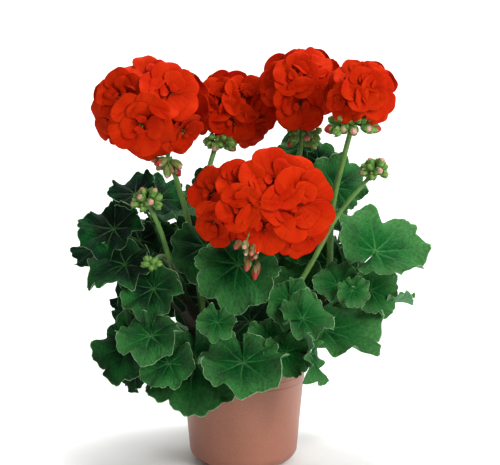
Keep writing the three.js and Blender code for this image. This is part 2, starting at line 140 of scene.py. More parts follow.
def calc(operation, *values):
    inputs = dict(enumerate(values))
    return addNode(treeOf(*values), "ShaderNodeMath", inputs, operation=operation).outputs[0]


def vectorCalc(operation, *values):
    inputs = dict(enumerate(values))
    return addNode(treeOf(*values), "ShaderNodeVectorMath", inputs, operation=operation).outputs


def partsOf(vector):
    return addNode(treeOf(vector), "ShaderNodeSeparateXYZ", {0: vector}).outputs


def fade(value, low, high, start=0.0, end=1.0):
    inputs = {0: value, 1: low, 2: high, 3: start, 4: end}
    return addNode(treeOf(value), "ShaderNodeMapRange", inputs, interpolation_type="SMOOTHSTEP").outputs[0]


def blendColour(factor, first, second, kind="MIX"):
    inputs = {0: factor, 6: first, 7: second}
    tree = treeOf(factor, first, second)
    return addNode(tree, "ShaderNodeMix", inputs, data_type="RGBA", blend_type=kind).outputs[2]


def noiseOf(place, scale, detail=3.0, roughness=0.55):
    inputs = {"Vector": place, "Scale": scale, "Detail": detail, "Roughness": roughness}
    return addNode(treeOf(place), "ShaderNodeTexNoise", inputs).outputs["Fac"]


def attributeOf(tree, name):
    return addNode(tree, "ShaderNodeAttribute", {}, attribute_name=name).outputs["Fac"]


def objectPlace(tree):
    return addNode(tree, "ShaderNodeTexCoord", {}).outputs["Object"]


def planPlace(tree):
    return addNode(tree, "ShaderNodeUVMap", {}, uv_map="plan").outputs["UV"]


def linkTo(shader, name, value):
    shader.id_data.links.new(value, shader.inputs[name])


def bumpTo(shader, height, distance, strength=1.0):
    inputs = {"Height": height, "Distance": distance, "Strength": strength}
    linkTo(shader, "Normal", addNode(treeOf(height), "ShaderNodeBump", inputs).outputs["Normal"])


# The colours of a blade's two faces
def colourFaces(tree, shader, upper, lower):
    isUnder = calc("GREATER_THAN", attributeOf(tree, "under"), 0.75)
    linkTo(shader, "Base Color", blendColour(isUnder, upper, lower))


# Leaf blades: dark green with painted light and shade (lighter leaves in front and on the right, darker
# blotches), pale veins out to each lobe, a darker zone that is partly painted shade, a pale rim and a paler
# underside
leafLook = tones({
    "shadedGreen": (1, 33, 21), "litGreen": (14, 85, 31), "young": (78, 128, 72), "zoneAndShade": (12, 22, 16),
    "vein": (86, 146, 80), "rim": (150, 184, 136), "under": (90, 138, 96),
})
# Veins in shares of 2.4 leaf sizes: how far they wander, their width, and their branches' distance and slant
veins = {"wander": 0.035, "atHub": 0.0065, "atRim": 0.0022, "apart": 0.032, "slant": 1.4}


def leafMaterial():
    material, tree, shader = newMaterial("leafBlade", Roughness=0.65, Specular_IOR_Level=0.04)
    plan = planPlace(tree)
    inputs = {"Vector": plan, "Scale": 7.0, "Detail": 1.0}
    wander = addNode(tree, "ShaderNodeTexNoise", inputs).outputs["Color"]
    shift = vectorCalc("SUBTRACT", wander, (0.5, 0.5, 0.5))[0]
    moved = vectorCalc("MULTIPLY_ADD", shift, (veins["wander"],) * 3, plan)[0]
    centred = vectorCalc("SUBTRACT", moved, (0.5, 0.5, 0.0))[0]
    along = partsOf(centred)
    reach = vectorCalc("LENGTH", centred)["Value"]
    angle = calc("ARCTAN2", along[1], along[0])
    offVein = calc("PINGPONG", angle, math.radians(22.5))
    beside = calc("MULTIPLY", reach, calc("SINE", offVein))
    out = calc("MULTIPLY", reach, calc("COSINE", offVein))
    width = fade(out, 0.0, 0.42, veins["atHub"], veins["atRim"])
    mainVein = fade(calc("DIVIDE", beside, width), 0.4, 1.6, 1.0, 0.0)
    slanted = calc("SUBTRACT", out, calc("MULTIPLY", beside, veins["slant"]))
    branch = calc("PINGPONG", slanted, veins["apart"])
    sideVein = calc("MULTIPLY", fade(branch, 0.0, 0.006, 0.4, 0.0), fade(out, 0.08, 0.16))
    vein = calc("MAXIMUM", mainVein, sideVein)
    share = attributeOf(tree, "share")
    tint = attributeOf(tree, "tint")
    # Blotches of painted light and shade across each leaf, which also roughen the zone's edge
    shadeBlotches = noiseOf(objectPlace(tree), 45.0, 4.0)
    crinkle = noiseOf(plan, 26.0, 3.0, 0.6)
    # Painted light and shade: the green runs from the shaded green to the lit green by the leaf's lit share
    # and the painted blotches
    level = calc("MULTIPLY_ADD", tint, 0.42, calc("SUBTRACT", shadeBlotches, 0.07))
    green = blendColour(fade(level, 0.42, 0.78), leafLook["shadedGreen"], leafLook["litGreen"])
    # Painted highlight: the outer part of brightly lit leaves is painted a lighter green
    litOuter = calc("MULTIPLY", fade(share, 0.25, 1.0), calc("MULTIPLY", tint, 0.72))
    green = blendColour(litOuter, green, leafLook["young"])
    # The leaf's own dark zone, made stronger on dimly lit leaves as painted shade
    heart = calc("MULTIPLY_ADD", shadeBlotches, 0.45, share)
    heart = calc("MULTIPLY_ADD", along[0], 0.8, heart)
    dark = calc("MULTIPLY", fade(heart, 0.6, 1.2, 1.0, 0.0), fade(tint, 0.0, 0.7, 1.0, 0.1))
    green = blendColour(dark, green, leafLook["zoneAndShade"])
    green = blendColour(calc("MULTIPLY", vein, fade(share, 0.0, 0.8, 0.36, 0.1)), green, leafLook["vein"])
    green = blendColour(fade(share, 0.975, 0.995), green, leafLook["rim"])
    # Fine light and dark patches, painted shade and light of the crinkled surface
    grain = noiseOf(plan, 44.0, 4.0, 0.65)
    green = blendColour(1.0, green, fade(grain, 0.3, 0.7, 0.7, 1.22), "MULTIPLY")
    pale = blendColour(calc("MULTIPLY", vein, 0.5), leafLook["under"], leafLook["rim"])
    pale = blendColour(0.25, pale, green)
    colourFaces(tree, shader, green, pale)
    quilt = calc("MULTIPLY", fade(branch, 0.0, veins["apart"]), fade(beside, 0.0, 0.03))
    height = calc("ADD", crinkle, calc("MULTIPLY", quilt, 0.22))
    bumpTo(shader, height, 0.0016, 0.8)
    rough = fade(noiseOf(objectPlace(tree), 160.0), 0.3, 0.7, 0.58, 0.74)
    linkTo(shader, "Roughness", rough)
    return material


# Petals: saturated orange-red, darker at the claw, with fine darker veins that fan out
petalLook = tones({
    "bright": (188, 40, 2), "body": (178, 30, 1), "claw": (112, 6, 4), "vein": (156, 18, 2),
    "under": (166, 28, 8),
})


def petalMaterial():
    material, tree, shader = newMaterial("petal", Roughness=0.7, Specular_IOR_Level=0.04)
    plan = planPlace(tree)
    along = partsOf(plan)
    angle = calc("ARCTAN2", calc("SUBTRACT", along[1], 0.5), calc("ADD", along[0], 0.12))
    inputs = {0: calc("MULTIPLY", angle, 8.0), 1: attributeOf(tree, "tint")}
    stripe = noiseOf(addNode(tree, "ShaderNodeCombineXYZ", inputs).outputs[0], 2.6, 3.0, 0.6)
    broad = noiseOf(objectPlace(tree), 55.0, 2.0)
    red = blendColour(fade(broad, 0.35, 0.65), petalLook["body"], petalLook["bright"])
    claw = fade(along[0], 0.06, 0.34, 0.75, 0.0)
    lines = calc("MULTIPLY", fade(stripe, 0.5, 0.66), fade(along[0], 0.2, 0.95, 0.6, 0.3))
    red = blendColour(lines, red, petalLook["vein"])
    red = blendColour(claw, red, petalLook["claw"])
    colourFaces(tree, shader, red, blendColour(0.6, red, petalLook["under"]))
    height = calc("ADD", stripe, noiseOf(objectPlace(tree), 420.0, 3.0))
    bumpTo(shader, height, 0.0008, 0.6)
    return material


# Green stalks, young stems and sepals, woody and brown at the foot, that brown made very dark as painted
# shade of the plant's inside
greenLook = tones({
    "stalk": (88, 132, 46), "shade": (58, 104, 34), "blush": (122, 78, 50), "sepal": (124, 166, 76),
    "sepalShade": (84, 132, 52), "dark": (30, 58, 28), "stem": (50, 88, 38), "shadedWood": (30, 24, 16),
})


def greenMaterial(name, light, shade):
    material, tree, shader = newMaterial(name, Roughness=0.6, Sheen_Weight=0.1, Sheen_Roughness=0.4)
    place = objectPlace(tree)
    stretched = addNode(tree, "ShaderNodeMapping", {0: place, 3: (1.0, 1.0, 0.25)}).outputs[0]
    patch = noiseOf(stretched, 180.0, 3.0)
    green = blendColour(fade(patch, 0.3, 0.7), greenLook[shade], greenLook[light])
    blush = calc("MULTIPLY", fade(noiseOf(place, 28.0), 0.52, 0.72), 0.35)
    blush = calc("MULTIPLY_ADD", attributeOf(tree, "tint"), 0.7, blush)
    green = blendColour(blush, green, greenLook["blush"])
    linkTo(shader, "Base Color", green)
    bumpTo(shader, noiseOf(stretched, 900.0, 3.0), 0.0005, 0.5)
    return material


def stemMaterial():
    material, tree, shader = newMaterial("greenStem", Roughness=0.75, Specular_IOR_Level=0.15)
    place = objectPlace(tree)
    height = partsOf(place)[2]
    patch = noiseOf(place, 120.0, 4.0)
    woody = calc("ADD", fade(height, 0.12, 0.22, 0.9, 0.0), calc("MULTIPLY", patch, 0.3))
    skin = blendColour(fade(patch, 0.3, 0.7), greenLook["dark"], greenLook["stem"])
    # Painted shade: the woody brown at the foot is darkened for the shade inside the plant
    skin = blendColour(fade(woody, 0.35, 0.9), skin, greenLook["shadedWood"])
    linkTo(shader, "Base Color", skin)
    bumpTo(shader, noiseOf(place, 600.0, 4.0), 0.0008, 0.6)
    return material


# Bud tips, from green through pale pink to red by how ripe each bud is
budLook = tones({"closed": (98, 142, 54), "pale": (216, 164, 156), "ripe": (160, 24, 16)})


def budMaterial():
    material, tree, shader = newMaterial("budTip", Roughness=0.6)
    ripe = attributeOf(tree, "tint")
    streak = noiseOf(objectPlace(tree), 900.0, 3.0, 0.65)
    tip = calc("MULTIPLY", fade(attributeOf(tree, "share"), 0.74, 0.92), fade(ripe, 0.25, 0.4))
    shade = blendColour(tip, budLook["closed"], budLook["pale"])
    shade = blendColour(fade(ripe, 0.5, 0.75), shade, budLook["ripe"])
    streaks = calc("MULTIPLY", fade(streak, 0.46, 0.6, 0.0, 0.8), tip)
    shade = blendColour(streaks, shade, budLook["ripe"])
    linkTo(shader, "Base Color", shade)
    bumpTo(shader, streak, 0.0004, 0.5)
    return material


def hairMaterial():
    material, tree, shader = newMaterial("paleHair", Roughness=0.6, Sheen_Weight=0.3)
    cast = noiseOf(objectPlace(tree), 300.0, 1.0)
    linkTo(shader, "Base Color", blendColour(cast, tone(112, 142, 82), tone(176, 192, 146)))
    return material


# Pot: its sizes, and moulded terracotta-coloured plastic, faintly mottled, with fine turning marks and
# painted shadow lines in the creases below the rim band and the collar
pot = {
    "height": 98, "wall": 2, "floor": 2.2, "holes": 6, "holeRadius": 4, "holeRing": 31, "sides": 144,
    "rim": 60.5, "band": 9, "collar": 7, "collarStep": 0.6, "neck": 59.2,
    "corner": 52.4, "cornerHeight": 8.5, "heel": 47.5, "heelHeight": 3, "foot": 42,
}
potLook = tones({
    "body": (162, 104, 84), "pale": (178, 120, 98), "dusk": (146, 92, 72), "shadedCrease": (84, 52, 40),
})


def potMaterial():
    material, tree, shader = newMaterial("pottedPlastic", Roughness=0.42, Specular_IOR_Level=0.45)
    place = objectPlace(tree)
    cloud = noiseOf(place, 14.0, 4.0)
    speck = noiseOf(place, 900.0, 2.0)
    clay = blendColour(fade(cloud, 0.3, 0.7), potLook["dusk"], potLook["body"])
    clay = blendColour(fade(speck, 0.45, 0.75, 0.0, 0.5), clay, potLook["pale"])
    height = partsOf(place)[2]
    # Painted shadow: thin dark lines where the rim band and the collar step in
    for shadedCrease in (pot["height"] - pot["band"], pot["height"] - pot["band"] - pot["collar"]):
        off = calc("ABSOLUTE", calc("SUBTRACT", height, (shadedCrease - 0.2) * metre))
        clay = blendColour(fade(off, 0.0002, 0.0008, 0.75, 0.0), clay, potLook["shadedCrease"])
    linkTo(shader, "Base Color", clay)
    flat = addNode(tree, "ShaderNodeMapping", {0: place, 3: (0.2, 0.2, 6.0)}).outputs[0]
    marks = calc("ADD", noiseOf(flat, 160.0, 2.0), calc("MULTIPLY", speck, 0.5))
    bumpTo(shader, marks, 0.00025, 0.35)
    linkTo(shader, "Roughness", fade(cloud, 0.3, 0.7, 0.38, 0.5))
    return material


def soilMaterial():
    material, tree, shader = newMaterial("pottingSoil", Roughness=0.95)
    place = objectPlace(tree)
    grain = noiseOf(place, 260.0, 5.0, 0.65)
    patch = noiseOf(place, 60.0, 3.0)
    brown = blendColour(fade(grain, 0.35, 0.7), tone(26, 17, 12), tone(78, 56, 40))
    brown = blendColour(fade(patch, 0.4, 0.7, 0.0, 0.5), brown, tone(44, 30, 20))
    linkTo(shader, "Base Color", brown)
    bumpTo(shader, grain, 0.002, 0.8)
    return material


def perliteMaterial():
    material, tree, shader = newMaterial("perlite", Roughness=0.85)
    grain = noiseOf(objectPlace(tree), 500.0, 4.0)
    linkTo(shader, "Base Color", blendColour(grain, tone(176, 170, 158), tone(236, 233, 226)))
    bumpTo(shader, grain, 0.0006, 0.7)
    return material


def floorMaterial():
    material, tree, shader = newMaterial("paleFloor", Roughness=0.8)
    level = studio["floor"]
    cloud = noiseOf(objectPlace(tree), 1.2, 2.0)
    pale = blendColour(cloud, (level,) * 3 + (1,), (level + 0.02,) * 3 + (1,))
    linkTo(shader, "Base Color", pale)
    return material


# A floor that sweeps up behind into a plain pale backdrop
sweep = {"front": -2.2, "bend": 1.2, "radius": 0.9, "top": 3.0, "half": 3.5}


def addFloor():
    turns = [math.radians(6 * i) for i in range(16)]
    curve = [
        (sweep["bend"] + sweep["radius"] * math.sin(a), sweep["radius"] * (1 - math.cos(a))) for a in turns
    ]
    profile = [(sweep["front"], 0.0), *curve, (sweep["bend"] + sweep["radius"], sweep["top"])]
    points = [(side * sweep["half"], y, z) for y, z in profile for side in (-1, 1)]
    faces = [(2 * i, 2 * i + 1, 2 * i + 3, 2 * i + 2) for i in range(len(profile) - 1)]
    mesh = bpy.data.meshes.new("floor")
    mesh.from_pydata(points, [], faces)
    mesh.shade_smooth()
    mesh.materials.append(floorMaterial())
    addObject("floor", mesh)


print("studio")
addCamera()
addLights()
addFloor()
finishes = {
    "leaf": leafMaterial(), "petal": petalMaterial(), "stem": stemMaterial(),
    "stalk": greenMaterial("greenStalk", "stalk", "shade"),
    "sepal": greenMaterial("greenSepal", "sepal", "sepalShade"),
    "bud": budMaterial(), "hair": hairMaterial(), "pot": potMaterial(), "soil": soilMaterial(),
    "perlite": perliteMaterial(),
}


# Small tools for meshes. A surface is a dictionary of its points, its faces and what the materials read at
# each point.
def chance(n):
    s = math.sin(n * 12.9898) * 43758.5453
    return s - math.floor(s)


def unit(v):
    return v / np.linalg.norm(v)


def turnTo(way):
    # The turn that takes +Z to a given way.
    return np.array(Vector((0, 0, 1)).rotation_difference(Vector(way)).to_matrix())


def surfaceOf(points, faces, finish, share=0.0, under=0.0, tint=0.0, plan=None):
    count = len(points)
    plan = np.zeros((count, 2)) if plan is None else plan
    data = {"share": share, "under": under, "tint": tint}
    made = {"points": np.asarray(points, float), "faces": faces, "finish": finish, "plan": plan}
    for name, value in data.items():
        made[name] = np.broadcast_to(np.asarray(value, float), (count,))
    return made


def newMesh(name, points, faces, edges=()):
    mesh = bpy.data.meshes.new(name)
    mesh.from_pydata((points * metre).tolist(), edges, faces)
    return mesh


# The points and the faces of several surfaces as one
def joined(surfaces):
    starts = np.cumsum([0, *[len(s["points"]) for s in surfaces]]).tolist()
    faces = [tuple(i + start for i in face) for s, start in zip(surfaces, starts) for face in s["faces"]]
    return np.concatenate([s["points"] for s in surfaces]), faces


def makePiece(name, surfaces, node):
    order = sorted({s["finish"] for s in surfaces})
    mesh = newMesh(name, *joined(surfaces))
    slots = np.concatenate([np.full(len(s["faces"]), order.index(s["finish"])) for s in surfaces])
    mesh.polygons.foreach_set("material_index", slots.astype(np.int32))
    for key in ("share", "under", "tint"):
        layer = mesh.attributes.new(key, "FLOAT", "POINT")
        layer.data.foreach_set("value", np.concatenate([s[key] for s in surfaces]).astype(np.float32))
    corners = np.empty(len(mesh.loops), np.int32)
    mesh.loops.foreach_get("vertex_index", corners)
    plan = np.concatenate([s["plan"] for s in surfaces])[corners]
    mesh.uv_layers.new(name="plan").data.foreach_set("uv", plan.astype(np.float32).ravel())
    mesh.shade_smooth()
    for finish in order:
        mesh.materials.append(finishes[finish])
    settle(addObject(name, mesh), node)


def settle(piece, node):
    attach(piece, "root")
    if node:
        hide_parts(node)


# A thin two-faced blade over a fan of points: rings from the hub out to the rim, and columns round it. Both
# faces share the rim, so it is closed. A petal's columns run all the way round. A leaf's stop at its notch.
def bladeSurface(grid, hub, shares, thick, plan, hubPlan, closed, finish, tint):
    rings, columns = grid.shape[:2]
    out = np.gradient(np.concatenate([np.broadcast_to(hub, (1, columns, 3)), grid]), axis=0)[1:]
    if closed:
        round_ = np.roll(grid, -1, 1) - np.roll(grid, 1, 1)
    else:
        round_ = np.gradient(grid, axis=1)
    normal = np.cross(out, round_)
    normal /= np.linalg.norm(normal, axis=2, keepdims=True) + 1e-9
    taper = np.minimum(1, (1 - shares) / 0.06)[:, None, None]
    lower = grid - normal * thick * taper
    top = 1 + np.arange(rings * columns).reshape(rings, columns)
    inner = np.zeros((rings, columns), bool)
    inner[:-1, :] = True
    if not closed:
        inner[:, [0, -1]] = False
    bottom = top.copy()
    bottom[inner] = 1 + rings * columns + np.arange(inner.sum())
    hubLow = 1 + rings * columns + int(inner.sum())
    points = np.concatenate([hub[None], grid.reshape(-1, 3), lower[inner]])
    share = np.concatenate([[0], np.repeat(shares, columns), np.repeat(shares[:, None], columns, 1)[inner]])
    flat = plan.reshape(-1, 2)
    plans = np.concatenate([hubPlan[None], flat, plan[inner]])
    under = np.concatenate([[0], np.where(inner, 0, 0.5).ravel(), np.ones(inner.sum())])
    if closed:
        points = np.concatenate([points, (hub - unit(normal[0].mean(0)) * thick)[None]])
        share, under = np.append(share, 0), np.append(under, 1)
        plans = np.concatenate([plans, hubPlan[None]])
    else:
        hubLow = 0
    following = np.roll(np.arange(columns), -1) if closed else np.arange(1, columns)
    here = np.arange(columns) if closed else np.arange(columns - 1)
    faces = []
    for grid_, centre, flip in ((top, 0, False), (bottom, hubLow, True)):
        quads = np.stack(
            [grid_[:-1, here], grid_[1:, here], grid_[1:, following], grid_[:-1, following]], -1
        ).reshape(-1, 4)
        fan = np.stack([np.full(len(here), centre), grid_[0, here], grid_[0, following]], -1)
        faces += (quads[:, ::-1] if flip else quads).tolist()
        faces += (fan[:, ::-1] if flip else fan).tolist()
    return surfaceOf(points, faces, finish, share, under, tint, plans)


# The smooth path through given points, the same as in the solids
def smoothPath(points, steps):
    p = np.array(points, float)
    p = np.concatenate([[2 * p[0] - p[1]], p, [2 * p[-1] - p[-2]]])
    made = []
    for i in range(1, len(p) - 2):
        a, b, c, d = p[i - 1:i + 3]
        before, span, after = (np.linalg.norm(v) ** 0.5 for v in (b - a, c - b, d - c))
        leave = ((b - a) / before - (c - a) / (before + span) + (c - b) / span) * span
        arrive = ((c - b) / span - (d - b) / (span + after) + (d - c) / after) * span
        for t in np.linspace(0, 1, steps, endpoint=False):
            made.append(
                b * (2 * t**3 - 3 * t**2 + 1) + leave * (t**3 - 2 * t**2 + t)
                + c * (3 * t**2 - 2 * t**3) + arrive * (t**3 - t**2)
            )
    return np.array([*made, p[-2]])


def bezierPath(a, b, c, d, steps):
    t = np.linspace(0, 1, steps)[:, None]
    return a * (1 - t) ** 3 + 3 * b * t * (1 - t) ** 2 + 3 * c * t**2 * (1 - t) + d * t**3


# Geometry Nodes tools: a tree with named inputs, and its result as a plain mesh
def newTree(name, inputs):
    tree = bpy.data.node_groups.new(name, "GeometryNodeTree")
    tree.interface.new_socket("Geometry", in_out="INPUT", socket_type="NodeSocketGeometry")
    for label, kind in inputs.items():
        tree.interface.new_socket(label, in_out="INPUT", socket_type=kind)
    tree.interface.new_socket("Geometry", in_out="OUTPUT", socket_type="NodeSocketGeometry")
    return tree, tree.nodes.new("NodeGroupInput").outputs


def endTree(tree, geometry, material):
    smooth = addNode(tree, "GeometryNodeSetShadeSmooth", {0: geometry})
    real = addNode(tree, "GeometryNodeRealizeInstances", {0: smooth.outputs[0]})
    painted = addNode(tree, "GeometryNodeSetMaterial", {0: real.outputs[0], "Material": material})
    addNode(tree, "NodeGroupOutput", {0: painted.outputs[0]})


def runTree(name, base, tree, values):
    holder = addObject(name, base)
    modifier = holder.modifiers.new("nodes", "NODES")
    modifier.node_group = tree
    for item in tree.interface.items_tree:
        if item.in_out == "INPUT" and item.name in values:
            modifier[item.identifier] = values[item.name]
    result = holder.evaluated_get(bpy.context.evaluated_depsgraph_get())
    mesh = bpy.data.meshes.new_from_object(result)
    mesh.name = name
    holder.modifiers.remove(modifier)
    holder.data = mesh
    return holder


# Round tubes along paths, each point with its own girth
def tubeTree():
    tree, given = newTree("roundTubes", {"Sides": "NodeSocketInt", "Finish": "NodeSocketMaterial"})
    curve = addNode(tree, "GeometryNodeMeshToCurve", {0: given["Geometry"]})
    ring = addNode(tree, "GeometryNodeCurvePrimitiveCircle", {"Resolution": given["Sides"], "Radius": 1.0})
    girth = addNode(tree, "GeometryNodeInputNamedAttribute", {"Name": "girth"}, data_type="FLOAT")
    inputs = {
        "Curve": curve.outputs[0], "Profile Curve": ring.outputs[0], "Scale": girth.outputs[0],
        "Fill Caps": True,
    }
    tube = addNode(tree, "GeometryNodeCurveToMesh", inputs)
    endTree(tree, tube.outputs[0], given["Finish"])
    return tree


# The start of a tree that scatters things over a surface: its inputs and the spots
def startScatter(name, *sizes):
    inputs = {label: "NodeSocketFloat" for label in ("Density", *sizes)}
    tree, given = newTree(name, {**inputs, "Seed": "NodeSocketInt", "Finish": "NodeSocketMaterial"})
    inputs = {"Mesh": given["Geometry"], "Density": given["Density"], "Seed": given["Seed"]}
    return tree, given, addNode(tree, "GeometryNodeDistributePointsOnFaces", inputs).outputs


def endScatter(tree, given, spots, thing, rotation, scale):
    inputs = {"Points": spots["Points"], "Instance": thing.outputs[0], "Rotation": rotation, "Scale": scale}
    endTree(tree, addNode(tree, "GeometryNodeInstanceOnPoints", inputs).outputs[0], given["Finish"])
    return tree


# A random number or vector at each spot
def randomOf(tree, given, low, high):
    first, output, kind = (0, 0, "FLOAT_VECTOR") if isinstance(low, tuple) else (2, 1, "FLOAT")
    inputs = {first: low, first + 1: high, "Seed": given["Seed"]}
    return addNode(tree, "FunctionNodeRandomValue", inputs, data_type=kind).outputs[output]


# Short hairs that stand out of a surface, leaning at random
def hairTree():
    tree, given, spots = startScatter("shortHairs", "Length", "Girth")
    inputs = {"Vertices": 3, "Radius Bottom": given["Girth"], "Radius Top": 0.0, "Depth": given["Length"]}
    hair = addNode(tree, "GeometryNodeMeshCone", inputs)
    lean = randomOf(tree, given, (-0.6, -0.6, 0.0), (0.6, 0.6, 6.28))
    leaning = addNode(tree, "FunctionNodeEulerToRotation", {0: lean})
    inputs = {0: spots["Rotation"], 1: leaning.outputs[0]}
    turned = addNode(tree, "FunctionNodeRotateRotation", inputs, rotation_space="LOCAL")
    return endScatter(tree, given, spots, hair, turned.outputs[0], randomOf(tree, given, 0.5, 1.1))


# Lumps scattered on a surface and half sunk in it
def crumbTree():
    tree, given, spots = startScatter("crumbs", "Size")
    lump = addNode(tree, "GeometryNodeMeshIcoSphere", {"Radius": given["Size"], "Subdivisions": 1})
    turn = randomOf(tree, given, (0.0, 0.0, 0.0), (6.28, 6.28, 6.28))
    turned = addNode(tree, "FunctionNodeEulerToRotation", {0: turn})
    size = randomOf(tree, given, (0.4, 0.4, 0.3), (1.3, 1.1, 0.9))
    return endScatter(tree, given, spots, lump, turned.outputs[0], size)


trees = {"tube": tubeTree(), "hair": hairTree(), "crumb": crumbTree()}


# Tubes as one piece. Each path is a list of points and a list of girths, in millimetres.
def makeTubes(name, paths, sides, finish, node):
    starts = np.cumsum([0, *[len(points) for points, girth in paths]])
    edges = [(k, k + 1) for a, b in zip(starts, starts[1:]) for k in range(a, b - 1)]
    base = newMesh(name, np.concatenate([points for points, girth in paths]), [], edges)
    girths = np.concatenate([girth for points, girth in paths]) * metre
    base.attributes.new("girth", "FLOAT", "POINT").data.foreach_set("value", girths.astype(np.float32))
    piece = runTree(name, base, trees["tube"], {"Sides": sides, "Finish": finishes[finish]})
    settle(piece, node)
    return piece


# Hairs on the outside of a finished piece, as a piece of their own
hairs = {"density": 150000, "length": 1.0, "girth": 0.07}


def addHairs(piece, seed):
    skin = piece.data.copy()
    values = {
        "Density": hairs["density"], "Length": hairs["length"] * metre, "Girth": hairs["girth"] * metre,
        "Seed": seed, "Finish": finishes["hair"],
    }
    fuzz = runTree(f"hairs_{piece.name}", skin, trees["hair"], values)
    settle(fuzz, None)


# The leafy stems. Each path runs from the soil to the tip. A leaf is its place, its size from its stalk's
# end to its tip, the way that its upper face looks (round from the front to the right, and up), the way
# that its tip points in the front view (round from the right to the top), and how it bends where that isn't
# as usual. All turns are in degrees.
leafyStems = {
    "left": {
        "path": [(-19, -3, 60), (-30, -6, 110), (-52, -8, 155), (-74, -6, 205)],
        "leaves": [
            ((-105, 14, 261), 29, (-15, 50), 150, {"wave": 0.2}),
            ((-125, -4, 229), 38, (-20, 46), 252, {"cup": 0.2}),
            ((-144, 20, 208), 30, (-45, 42), 200),
            ((-101, 10, 216), 30, (-10, 40), 240),
            ((-112, -34, 200), 41, (-20, 56), 198, {"cup": 0.05}),
            ((-105, 14, 164), 30, (-35, 35), 250),
            ((-104, -4, 149), 28, (-40, 54), 212, {"wave": 0.16}),
        ],
    },
    "frontLeft": {
        "path": [(-14, -20, 60), (-24, -38, 100), (-40, -52, 130), (-56, -56, 158)],
        "leaves": [
            ((-84, -52, 180), 35, (-12, 42), 252),
            ((-104, -46, 127), 44, (-45, 36), 240, {"fold": 0.15}),
            ((-85, -81, 142), 37, (-10, 64), 250),
            ((-100, -50, 102), 23, (-60, 20), 255),
            ((-67, -101, 121), 31, (-14, 48), 242),
            ((-45, -80, 117), 57, (-4, 44), 262, {"cup": 0.04}),
            ((-23, -104, 160), 22, (0, 50), 245, {"wave": 0.2}),
        ],
    },
    "middle": {
        "path": [(-3, -3, 60), (-12, -8, 120), (-24, -12, 175), (-30, -14, 205)],
        "leaves": [
            ((-36, -28, 216), 38, (0, 36), 256),
            ((-5, -58, 204), 47, (2, 30), 262, {"cup": 0.05}),
            ((-87, 46, 251), 33, (8, 44), 35),
            ((-34, 46, 267), 20, (0, 15), 90),
            ((6, 16, 133), 36, (0, 34), 268),
        ],
    },
    "front": {
        "path": [(12, -20, 60), (20, -40, 100), (32, -50, 140), (44, -48, 172)],
        "leaves": [
            ((0, -106, 123), 48, (2, 64), 262, {"droop": 0.06}),
            ((43, -60, 171), 30, (14, 38), 272),
            ((23, -70, 137), 27, (5, 30), 280),
            ((39, -84, 127), 28, (14, 34), 292),
            ((55, -82, 158), 32, (12, 54), 8),
            ((62, -90, 126), 31, (80, 14), 270),
        ],
    },
    "right": {
        "path": [(20, 0, 60), (42, -4, 105), (70, -6, 150), (88, -4, 200)],
        "leaves": [
            ((127, -20, 210), 56, (20, 50), 35, {"fold": 0.15}),
            ((79, -22, 134), 60, (12, 62), 4),
            ((124, 4, 167), 33, (25, 32), 335),
            ((89, -36, 181), 27, (-10, 46), 120),
            ((102, -50, 178), 19, (6, 28), 300),
            ((143, 26, 150), 30, (30, 104), 0, {"droop": 0}),
            ((62, 24, 166), 36, (-10, 36), 200),
        ],
    },
    "back": {
        "path": [(4, 20, 60), (12, 36, 120), (30, 46, 185), (44, 50, 235)],
        "leaves": [
            ((91, 46, 263), 36, (12, 12), 80),
            ((75, 58, 287), 24, (0, 18), 100),
            ((57, 62, 302), 26, (-20, 32), 160),
            ((19, 44, 184), 36, (5, 30), 280),
            ((86, 50, 186), 32, (15, 28), 310),
            ((56, 50, 137), 38, (10, 22), 290),
            ((96, 26, 225), 20, (60, 14), 275),
            ((57, 38, 209), 24, (0, 20), 270),
            ((66, 96, 240), 46, (150, 48), 30),
            ((18, 106, 205), 48, (180, 45), 290),
            ((92, 84, 178), 46, (130, 42), 330),
            ((52, 98, 138), 48, (165, 32), 290),
        ],
    },
    "backLeft": {
        "path": [(-14, 18, 60), (-30, 38, 110), (-46, 50, 160), (-56, 54, 200)],
        "leaves": [
            ((-68, 34, 196), 36, (-10, 32), 250),
            ((-78, 42, 160), 32, (-20, 26), 250),
            ((-38, 28, 154), 38, (0, 26), 262),
            ((-84, 30, 214), 30, (-10, 30), 240),
            ((-50, 28, 219), 24, (-5, 30), 215),
            ((-38, 102, 240), 44, (-170, 48), 240),
            ((-92, 80, 216), 42, (-130, 48), 200),
            ((-52, 100, 166), 46, (-160, 40), 250),
            ((-96, 56, 150), 40, (-115, 40), 220),
            ((-32, 92, 110), 46, (-170, 28), 265),
        ],
    },
}

# A leaf's outline, with the degrees that a lobe, a scallop and a tooth take, its rim's teeth and its relief
leafShape = {
    "lobes": 45, "lobeDepth": 0.1, "back": 0.37, "sinus": 184.5, "lap": 0.1,
    "scallop": 15, "scallopDepth": 0.09, "tooth": 5, "toothDepth": 0.018,
    "pleat": 0.07, "ruffle": 0.08, "calm": 0.75, "crinkle": 1.6, "crinkleBelow": 36,
    "thick": 0.6, "step": 2.25, "planSpan": 2.4, "soilTop": 86,
}
usualBend = {"cup": 0.1, "wave": 0.17, "fold": 0.06, "droop": 0.17}
leafRings = np.array([0.06, 0.15, 0.26, 0.38, 0.5, 0.62, 0.73, 0.83, 0.91, 0.97, 1.0])


def leafReach(degrees):
    shape = leafShape
    body = 1 - shape["back"] * np.abs(degrees / 180) ** 1.6
    notch = ((1 - np.cos(np.radians(degrees * 360 / shape["lobes"]))) / 2) ** 1.5
    return body * (1 - shape["lobeDepth"] * notch)


